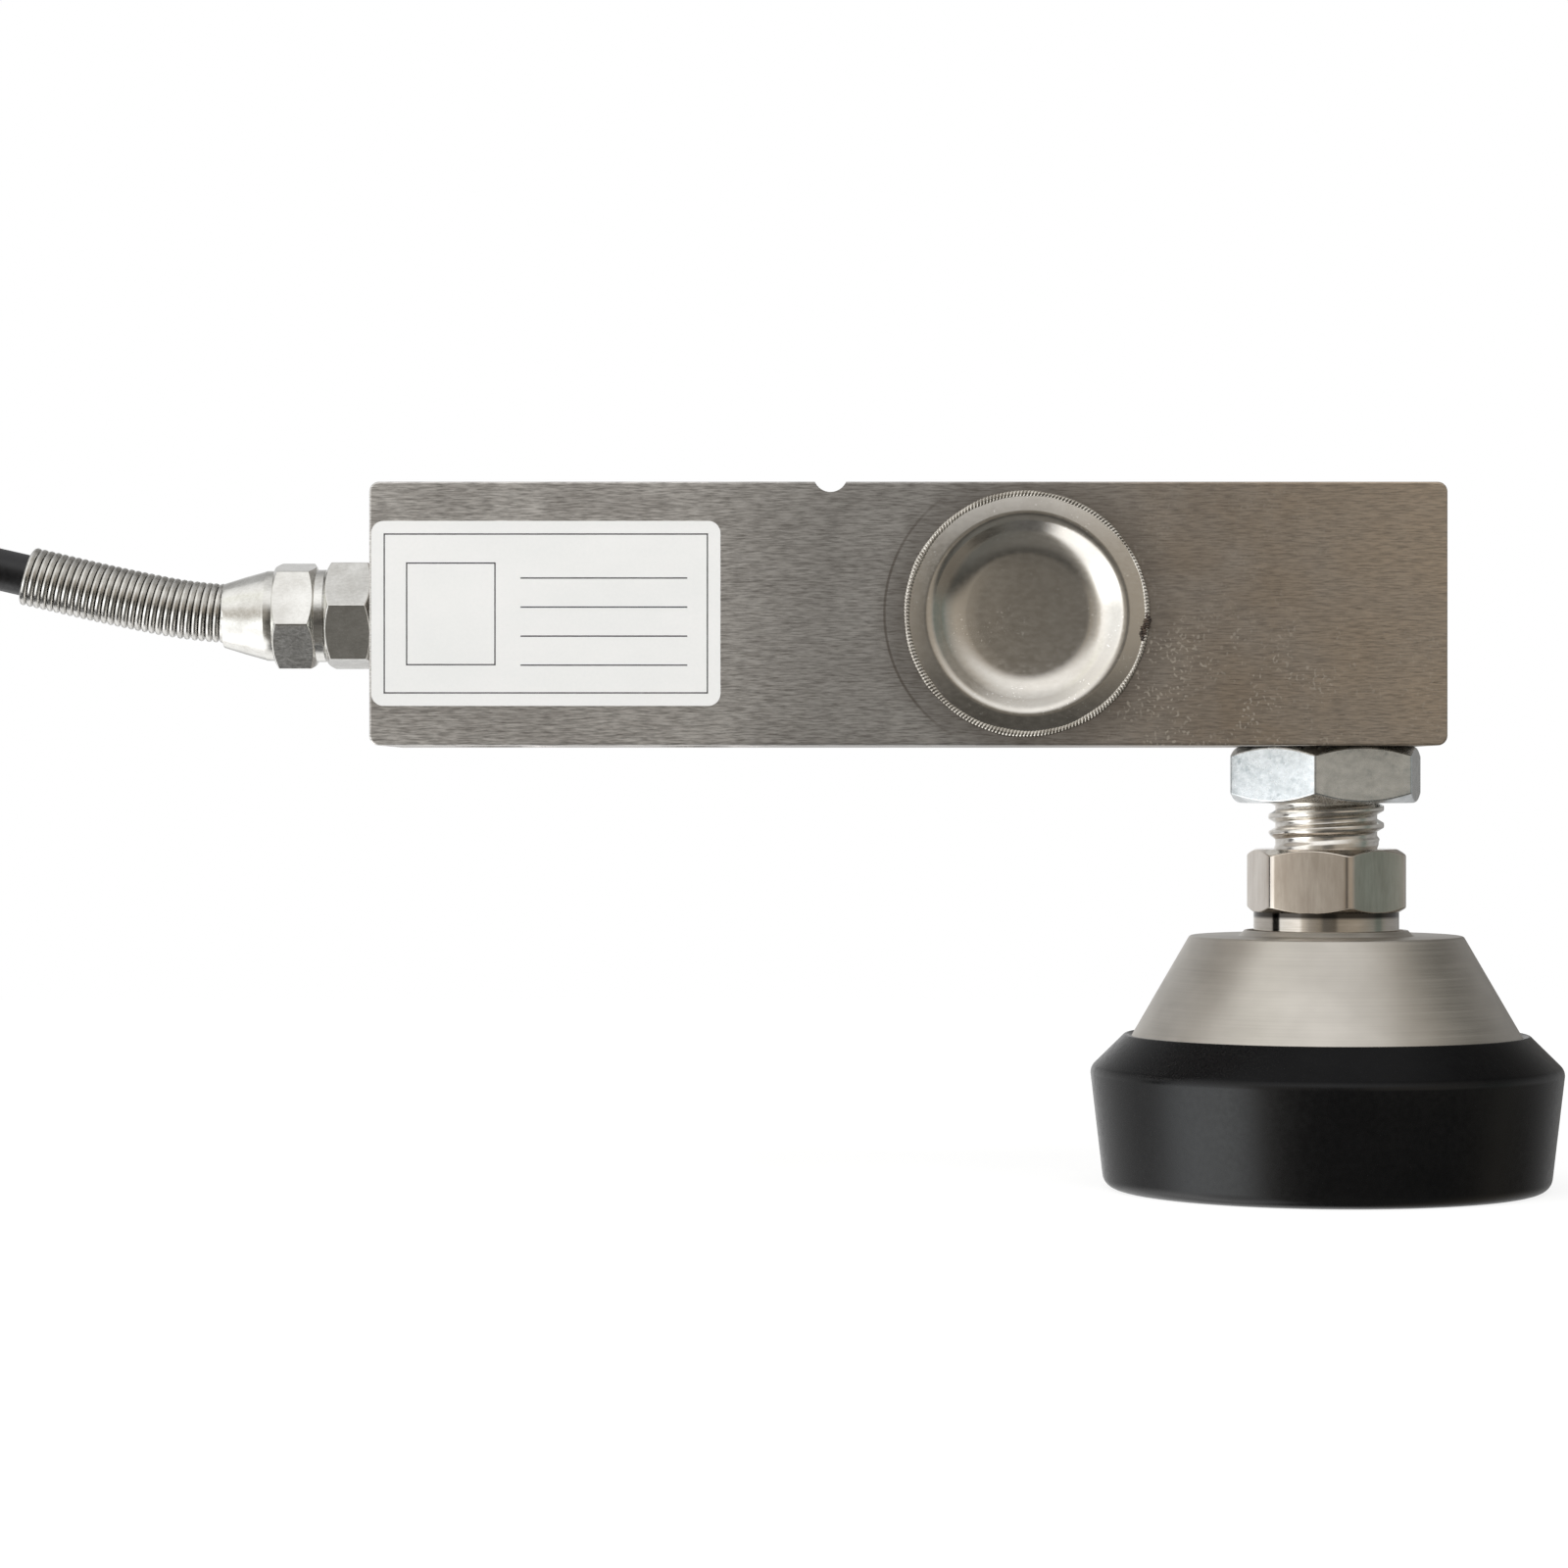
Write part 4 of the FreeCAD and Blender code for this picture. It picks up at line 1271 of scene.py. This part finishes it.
@dataclass
class BendSpring:
    """The close-wound spring that keeps the cable from kinking at the gland."""

    outside: float = 7.25
    wire: float = 0.78
    pitch: float = 0.84
    inside_nose: float = 4.6
    beyond_nose: float = 24.9
    read_to_x: float = -100.0
    steps_a_turn: int = 36
    steps_round: int = 10

    def build(self, cable: Cable) -> None:
        """Wind the wire round the cable's own line.

        The wire's middle is line(s) + R (cos t N + sin t Y), with N across the line in its plane and t
        growing by a full turn for each pitch along s; a circle of the wire's radius is carried along it.

        Args:
            cable: cable whose spline the spring follows.
        """
        line = cable.line()
        line = line[: int(np.argmax(line[:, 0] < self.read_to_x * MM)) + 1]
        steps = np.linalg.norm(np.diff(line, axis=0), axis=1)
        length = np.concatenate([[0.0], np.cumsum(steps)])
        mouth = float(np.interp(-cable.mouth[0], -line[:, 0] / MM, length))
        start, end = mouth - self.inside_nose * MM, mouth + self.beyond_nose * MM
        count = int((end - start) / (self.pitch * MM) * self.steps_a_turn)
        s = np.linspace(start + self.wire / 2 * MM, end - self.wire / 2 * MM, count)
        middle = np.column_stack([np.interp(s, length, line[:, k]) for k in range(3)])
        along = np.gradient(middle, axis=0)
        along /= np.linalg.norm(along, axis=1)[:, None]
        side = np.column_stack([-along[:, 2], np.zeros(count), along[:, 0]])
        t = 2 * math.pi * (s - s[0]) / (self.pitch * MM)
        out = np.cos(t)[:, None] * side + np.sin(t)[:, None] * np.array([0.0, 1.0, 0.0])
        wire = middle + (self.outside - self.wire) / 2 * MM * out
        ahead = np.gradient(wire, axis=0)
        ahead /= np.linalg.norm(ahead, axis=1)[:, None]
        across = np.cross(ahead, out)
        w = np.linspace(0, 2 * math.pi, self.steps_round, endpoint=False)
        ring = np.cos(w)[None, :, None] * out[:, None] + np.sin(w)[None, :, None] * across[:, None]
        tube = wire[:, None] + self.wire / 2 * MM * ring
        first, last = [np.repeat(tip[None, None], self.steps_round, 1) for tip in (wire[0], wire[-1])]
        grid = np.concatenate([first, tube, last])
        place(skin("bend_spring_wire", grid), "load_cell", SPRING_WIRE, "spring_steel", "bend_spring")


@dataclass
class Gland:
    """The cable gland on the beam's end: body, nut and conical nose, along -X.

    Its circles are radii and distances in mm out of the beam's end.
    """

    end: Spot = (-28.5, -8.4, -15.9)
    across: float = 12.0
    edge: float = 0.14
    body_turn: float = 8.4
    body_ends: Span = (0.0, 5.7)
    body_shank: tuple[Span, ...] = ((2.63, -7.0), (4.0, -7.0), (4.0, 0.0))
    body_spigot: tuple[Span, ...] = ((4.8, 5.7), (4.8, 11.1), (3.83, 11.1), (3.83, 8.3), (2.63, 8.3))
    nut_turn: float = -11.0
    nut_ends: Span = (7.0, 12.1)
    nut_collar: tuple[Span, ...] = ((4.83, 5.9), (5.65, 5.9), (5.65, 7.0))
    nut_shoulder: tuple[Span, ...] = ((5.5, 12.1), (5.5, 13.1), (5.46, 13.2), (5.42, 13.3))
    nut_cone: tuple[Span, ...] = ((4.75, 15.7), (4.0, 18.1), (3.92, 18.35), (3.9, 18.4))
    nut_bore: tuple[Span, ...] = ((3.75, 18.4), (3.655, 13.8), (2.66, 13.8), (2.66, 11.13), (4.83, 11.13))

    def outwards(self, grid: np.ndarray) -> np.ndarray:
        """Turn a grid made along +Z to run out of the beam's end along -X.

        Args:
            grid: points in mm about the axis.

        Returns:
            Points in metres in the part's frame.
        """
        x, y, z = grid[..., 0], grid[..., 1], grid[..., 2]
        return (np.stack([-z, y, x], -1) + np.array(self.end)) * MM

    def build(self) -> None:
        """Build the body and the nut."""
        body = HexRows(self.across, self.body_turn).grid(self.body_ends, self.body_shank, self.body_spigot)
        piece = skin("gland_body_hexagon", self.outwards(body), wrap_rows=True)
        place(soften(piece, self.edge), "load_cell", NICKEL, "nickel_plate", "gland_body")
        nose = (*self.nut_shoulder, *self.nut_cone, *self.nut_bore)
        nut = HexRows(self.across, self.nut_turn).grid(self.nut_ends, self.nut_collar, nose)
        piece = skin("gland_nut_nose", self.outwards(nut), wrap_rows=True)
        place(soften(piece, self.edge), "load_cell", NICKEL, "nickel_plate", "gland_nut")


@dataclass
class SealCup:
    """A pressed cup welded over a gauge pocket.

    Its corners are radii, depths into the beam and roundings in mm.
    """

    side: Side
    at: Span = (50.8, -15.9)
    face_y: float = 15.9
    rim_r: float = 14.5
    bead_w: float = 0.4
    bead_h: float = 0.26
    ripples: int = 216
    ripple_lag: float = 0.9
    steps_a_ripple: int = 6
    bead_steps: int = 12
    crust_deg: Span = (-14.0, 1.0)
    crust_w: float = 0.42
    crust_h: float = 0.26
    crust_lift: float = 0.1
    crust_inset: float = 0.15
    crust_sway: float = 0.2
    crust_steps: tuple[int, int] = (60, 16)
    columns: int = 240
    arc_steps: int = 16
    outside: tuple[Spot, ...] = (
        (0.0, 2.5, 0.0), (3.0, 2.465, 60.0), (6.0, 2.35, 30.0), (9.0, 2.15, 5.2), (11.75, -0.387, 1.6),
        (14.5, 0.0, 0.1),
    )
    inside: tuple[Spot, ...] = (
        (14.5, 0.5, 0.0), (11.922, 0.142, 1.1), (9.2, 2.65, 5.7), (6.0, 2.85, 30.0), (3.0, 2.965, 60.0),
        (0.0, 3.0, 0.0),
    )

    def on_face(self, grid: np.ndarray) -> np.ndarray:
        """Turn a grid made about +Z to the cup's face.

        Args:
            grid: points in mm about the cup's axis, with z going into the beam.

        Returns:
            Points in metres in the part's frame.
        """
        x, y, z = np.moveaxis(grid, -1, 0)
        out = self.side.value * (self.face_y - z)
        return np.stack([self.at[0] + x, out, self.at[1] + y], -1) * MM

    def dish(self) -> None:
        """Turn the cup: slightly dished floor, sloping wall, rounded lip and a flange down to the weld."""
        profile = rounded((*self.outside, *self.inside), self.arc_steps)
        piece = skin(f"{self.side.word}_cup_dish", self.on_face(lathe(profile, self.columns)))
        place(piece, "load_cell", CUP_STAINLESS, "cup_stainless", f"{self.side.word}_seal_cup")

    def bead(self) -> None:
        """Lay the weld bead.

        The bead is a ring of elliptic section, r = R + w cos v and depth = h sin v, whose height and width
        swell with |sin| of half the ripple count times the angle. The ripple lags across the width, so that
        each reads as a slanted scale. Two slow sines make it uneven, and a bell curve thins one stretch.
        """
        a = np.linspace(0, 2 * math.pi, self.ripples * self.steps_a_ripple, endpoint=False)[:, None]
        v = np.linspace(0, 2 * math.pi, self.bead_steps, endpoint=False)[None]
        wave = np.abs(np.sin(self.ripples / 2 * a + self.ripple_lag * np.cos(v)))
        thin = 0.3 * np.exp(4 * (np.cos(a - 0.6) - 1))
        uneven = 1 + 0.12 * np.sin(7 * a + 1.3) + 0.08 * np.sin(17 * a) - thin
        r = self.rim_r + self.bead_w * np.cos(v) * (0.8 + 0.2 * wave) * uneven
        lift = self.bead_h * np.sin(v) * (0.4 + 0.6 * wave) * uneven
        grid = np.stack([r * np.cos(a), r * np.sin(a), lift], -1)
        piece = skin(f"{self.side.word}_weld_bead", self.on_face(grid), wrap_rows=True)
        place(piece, "load_cell", WELD_METAL, "cup_stainless")

    def scale(self) -> None:
        """Lay a crust of burnt scale along a short arc of the weld.

        It is a tube along the arc whose radius falls to nothing at both ends as sin(t) to the power 0.6, and
        wavers with two sines of its place.
        """
        along, across = self.crust_steps
        t = np.linspace(0, math.pi, along)[:, None]
        v = np.linspace(0, 2 * math.pi, across, endpoint=False)[None]
        a = np.radians(np.interp(t, [0, math.pi], self.crust_deg))
        swell = np.sin(t) ** 0.6 * (1 + 0.3 * np.sin(9 * t + 2 * v) + 0.25 * np.sin(23 * t - 3 * v + 1))
        middle = self.rim_r - self.crust_inset - self.crust_sway * np.sin(2 * t)
        r = middle + self.crust_w * swell * np.cos(v)
        depth = self.crust_h * swell * np.sin(v) - self.crust_lift
        grid = np.stack([r * np.cos(a), r * np.sin(a), depth], -1)
        piece = skin(f"{self.side.word}_weld_scale", self.on_face(grid))
        place(piece, "load_cell", WELD_SCALE, "cup_stainless")

    def build(self) -> None:
        """Build the cup, its bead and the scale on it."""
        self.dish()
        self.bead()
        self.scale()


@dataclass
class Beam:
    """The ground beam with its label and what is sealed inside."""

    label_from: Span = (-28.25, -4.75)
    label_size: Span = (42.1, 22.3)
    label_y: float = -16.02
    ink_out: float = 0.012
    ink_in: float = 0.03
    rule: float = 0.16
    margin: float = 1.5
    box_x: Span = (4.2, 15.0)
    box_down: Span = (5.0, 17.4)
    lines_x: Span = (18.0, 38.1)
    lines_down: float = 6.8
    lines_step: float = 3.5
    lines: int = 4

    def print_marks(self) -> None:
        """Print a thin border, an empty box and blank writing lines on the label.

        Each is a flat box between two corners; its eight corners are picks from its low and high bounds.
        """
        x, z = self.label_from
        wide, tall = self.label_size
        rule, margin = self.rule, self.margin
        border = (x + margin, z - tall + margin, x + wide - margin, z - margin)
        box = (x + self.box_x[0], z - self.box_down[1], x + self.box_x[1], z - self.box_down[0])
        frames = np.array([border, box])
        x0, z0, x1, z1 = frames.T
        lines = z - self.lines_down - self.lines_step * np.arange(self.lines)
        left, right = [np.full(self.lines, x + end) for end in self.lines_x]
        bars = np.concatenate(
            [
                np.column_stack([x0, z1 - rule, x1, z1]),
                np.column_stack([x0, z0, x1, z0 + rule]),
                np.column_stack([x0, z0, x0 + rule, z1]),
                np.column_stack([x1 - rule, z0, x1, z1]),
                np.column_stack([left, lines - rule, right, lines]),
            ]
        )
        low = np.column_stack([bars[:, 0], np.full(len(bars), self.label_y - self.ink_out), bars[:, 1]])
        high = np.column_stack([bars[:, 2], np.full(len(bars), self.label_y + self.ink_in), bars[:, 3]])
        square = [[0, 0], [1, 0], [1, 1], [0, 1]]
        pick = np.array([[*spot, level] for level in (0, 1) for spot in square], bool)
        corners = np.where(pick[None], high[:, None], low[:, None])
        sides = np.array(
            [[0, 3, 2, 1], [4, 5, 6, 7], [0, 1, 5, 4], [1, 2, 6, 5], [2, 3, 7, 6], [3, 0, 4, 7]]
        )
        faces = (8 * np.arange(len(bars))[:, None, None] + sides).reshape(-1, 4)
        piece = mesh_object("label_marks", corners.reshape(-1, 3) * MM, faces)
        place(piece, "load_cell", PRINT, "label_paper")

    def build(self, dresser: Dresser) -> None:
        """Dress the beam and print the label's marks.

        Args:
            dresser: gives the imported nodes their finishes.
        """
        dresser.dress("beam_body", BEAM_STEEL)
        for side in Side:
            dresser.dress(f"{side.word}_strain_gauge", FOIL)
            dresser.dress(f"{side.word}_gauge_leads", COPPER)
        dresser.dress("compensation_board", BOARD)
        dresser.dress("rear_terminal_strip", BOARD)
        dresser.dress("trim_resistors", CHIP)
        dresser.dress("link_wires", COPPER)
        for colour in LeadColour:
            dresser.dress(f"core_{colour.word}", colour.finish())
        dresser.dress("gland_o_ring", SEAL)
        dresser.dress("gland_seal", SEAL)
        dresser.dress("label", LABEL_FILM)
        self.print_marks()


@dataclass
class Stud:
    """The jam nut and the levelling stud: thread, hexagon, neck and ball."""

    axis_x: float = 88.9
    thread_d: float = 14.29
    pitch: float = 25.4 / 12
    thread_depth: float = 0.85
    thread_top: float = -8.5
    flattened: float = 0.72
    run_out: Span = (0.9, 2.0)
    run_out_depth: float = 0.22
    taper: float = 1.2
    steps_a_pitch: int = 14
    steps_round: int = 96
    sunk: float = 0.2
    hexagon_shape: HexRows = HexRows(18.0, 9.2, corner_r=1.5, crown=0.1)
    hexagon_z: Span = (-52.5, -44.5)
    hexagon_edge: float = 0.14
    neck_r: float = 9.0
    ball_r: float = 11.0
    ball_z: float = -62.8
    ball_steps: int = 24
    columns: int = 144
    nut_shape: HexRows = HexRows(22.3, -13.4, corner_r=0.5)
    nut_z: Span = (-38.8, -31.8)
    nut_edge: float = 0.16
    nut_bore_r: float = 7.205
    nut_mouth_r: float = 8.2
    nut_mouth_deep: float = 0.6

    def standing(self, grid: np.ndarray) -> np.ndarray:
        """Move a grid in mm to the stud's axis, in metres."""
        return (grid + np.array([self.axis_x, 0, 0])) * MM

    def thread(self) -> None:
        """Cut the thread.

        The surface climbs with the angle, z = z0 + v + pitch * a / 2 pi, so that rows of equal v follow the
        helix. The radius is a cosine of v with its crests and roots flattened, as on a rolled and plated
        thread. Its depth fades to fine lines where the thread runs out above the hexagon, and its top end
        tapers.
        """
        major, depth = self.thread_d / 2, self.thread_depth
        hex_top = self.hexagon_z[1]
        low, high = hex_top - self.sunk, self.thread_top
        fractions = np.arange(self.steps_a_pitch) / self.steps_a_pitch
        heights = np.clip(0.5 - self.flattened * np.cos(2 * math.pi * fractions), 0, 1)
        turns = int((high - low) / self.pitch) + 2
        v = (np.arange(-1, turns)[:, None] + fractions).ravel() * self.pitch
        rise = np.tile(heights, turns + 1)[:, None]
        a = np.linspace(0, 2 * math.pi, self.steps_round + 1)
        z = np.clip(low + v[:, None] + self.pitch * a / (2 * math.pi), low, high)
        share = np.interp(z, hex_top + np.array(self.run_out), [self.run_out_depth, 1.0])
        r = major - depth + depth * rise * share
        r = np.minimum(r, major - self.taper + high - z)
        body = np.stack([r * np.cos(a), r * np.sin(a), z], -1)
        start = np.stack([0 * a, 0 * a, 0 * a + low], -1)[None]
        top = np.stack([0 * a, 0 * a, 0 * a + high], -1)[None]
        piece = skin("stud_thread", self.standing(np.concatenate([start, body, top])), wrap_columns=False)
        place(piece, "stud", THREAD_STEEL, "zinc_plate", "stud")

    def hexagon(self) -> None:
        """Build the stud's hexagon, closed at the axis above and below."""
        low, high = self.hexagon_z
        grid = self.hexagon_shape.grid(self.hexagon_z, [(0.0, low)], [(0.0, high)])
        piece = skin("stud_hexagon", self.standing(grid))
        place(soften(piece, self.hexagon_edge), "stud", HEX_STEEL, "zinc_plate", "stud")

    def neck(self) -> None:
        """Turn the neck and the ball below the hexagon: a cylinder and a sphere."""
        meet = math.sqrt(self.ball_r**2 - self.neck_r**2)
        polar = np.linspace(math.asin(self.neck_r / self.ball_r), math.pi, self.ball_steps)[1:]
        ball = np.column_stack([self.ball_r * np.sin(polar), self.ball_z + self.ball_r * np.cos(polar)])
        ball[-1, 0] = 0.0
        high = self.hexagon_z[0] + self.sunk
        cylinder = [(0.0, high), (self.neck_r, high), (self.neck_r, self.ball_z + meet)]
        profile = np.concatenate([cylinder, ball])
        piece = skin("stud_neck_ball", self.standing(lathe(profile, self.columns)))
        place(piece, "stud", STUD_STEEL, "zinc_plate", "stud")

    def jam_nut(self) -> None:
        """Build the thin nut under the beam, with a countersunk bore."""
        low, high = self.nut_z
        bore = [(self.nut_bore_r, high - self.nut_mouth_deep), (self.nut_bore_r, low + self.nut_mouth_deep)]
        grid = self.nut_shape.grid(self.nut_z, [(self.nut_mouth_r, low)], [(self.nut_mouth_r, high), *bore])
        piece = skin("jam_nut_hexagon", self.standing(grid), wrap_rows=True)
        place(soften(piece, self.nut_edge), "load_cell", ZINC, "zinc_plate", "jam_nut")

    def build(self) -> None:
        """Build the nut and the stud."""
        self.jam_nut()
        self.thread()
        self.hexagon()
        self.neck()


@dataclass
class Foot:
    """The swivel foot: conical steel base in a rubber pad, and the liner in its socket.

    Its corners are radii, heights and roundings in mm. Heights in the base are from its flat top, and
    heights in the pad from the pad's top.
    """

    axis_x: float = 88.9
    base_z: float = -55.3
    base_h: float = 25.0
    top_r: float = 16.9
    rim_r: float = 26.0
    cone_deg: float = 30.0
    edge_r: float = 0.5
    lip: tuple[Spot, ...] = ((10.75, 0.0, 0.5), (10.1, 0.7, 0.2), (9.75, 0.7, 0.12))
    lip_deep: float = 0.1
    socket_r: float = 13.16
    socket_steps: int = 12
    ball_deep: float = 7.5
    bare_h: float = 12.2
    pad_h: float = 19.2
    pad_gap: float = 0.2
    pad_groove: float = 0.35
    pad_outside: tuple[Spot, ...] = ((24.95, 0.0, 0.4), (29.3, -4.3, 1.6), (27.55, -19.2, 1.8))
    pad_arc_steps: int = 9

    @property
    def cone_slope(self) -> float:
        """The cone's growth in radius for each mm downwards."""
        return math.tan(math.radians(self.cone_deg))

    @property
    def cone_h(self) -> float:
        """Height in mm from the rim up to the flat top."""
        return (self.rim_r - self.top_r) / self.cone_slope

    def base(self) -> None:
        """Turn the base: lip, flat top, cone and rim outside, and a round socket inside."""
        roof_r = math.sqrt(self.socket_r**2 - (self.ball_deep - self.lip_deep) ** 2)
        polar = np.linspace(math.asin(roof_r / self.socket_r), math.pi, self.socket_steps)[1:]
        socket = self.socket_r * np.column_stack([np.sin(polar), np.cos(polar)]) - [0.0, self.ball_deep]
        socket[-1, 0] = 0.0
        corners = [
            (0.0, -self.base_h, 0.0),
            (self.rim_r, -self.base_h, self.edge_r),
            (self.rim_r, -self.cone_h, self.edge_r),
            (self.top_r, 0.0, self.edge_r),
            *self.lip,
            (self.lip[-1][0], -self.lip_deep, 0.0),
            (roof_r, -self.lip_deep, 0.0),
        ]
        grid = lathe(np.concatenate([rounded(corners), socket])) + np.array([self.axis_x, 0, self.base_z])
        place(skin("foot_base_cone", grid * MM), "foot", BASE_STEEL, "base_steel", "foot_base")

    def pad(self) -> None:
        """Mould the pad: a soft ridge above a side that draws in towards the floor."""
        cone_r = self.top_r + self.bare_h * self.cone_slope
        under = self.bare_h - self.base_h
        corners = [
            (0.0, under, 0.0),
            (self.rim_r, under, 0.0),
            (self.rim_r, self.bare_h - self.cone_h, 0.0),
            (cone_r + self.pad_gap, -self.pad_groove, 0.0),
            *self.pad_outside,
            (0.0, -self.pad_h, 0.0),
        ]
        profile = rounded(corners, self.pad_arc_steps)
        grid = lathe(profile) + np.array([self.axis_x, 0, self.base_z - self.bare_h])
        place(skin("rubber_pad_moulding", grid * MM), "foot", PAD_RUBBER, "pad_rubber", "rubber_pad")

    def build(self, dresser: Dresser) -> None:
        """Build the base and the pad and dress the liner.

        Args:
            dresser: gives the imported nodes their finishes.
        """
        self.base()
        self.pad()
        dresser.dress("socket_ring", BRONZE)
        dresser.dress("ball_seat", BRONZE)


def main() -> None:
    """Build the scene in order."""
    logging.basicConfig(level=logging.INFO, format="%(name)s: %(message)s")
    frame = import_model()
    Studio().build()
    dresser = Dresser(frame["nodes"])
    cable = Cable()
    cable.build(dresser)
    BendSpring().build(cable)
    Gland().build()
    Beam().build(dresser)
    for side in Side:
        SealCup(side).build()
    Stud().build()
    Foot().build(dresser)


if __name__ == "__main__":
    main()
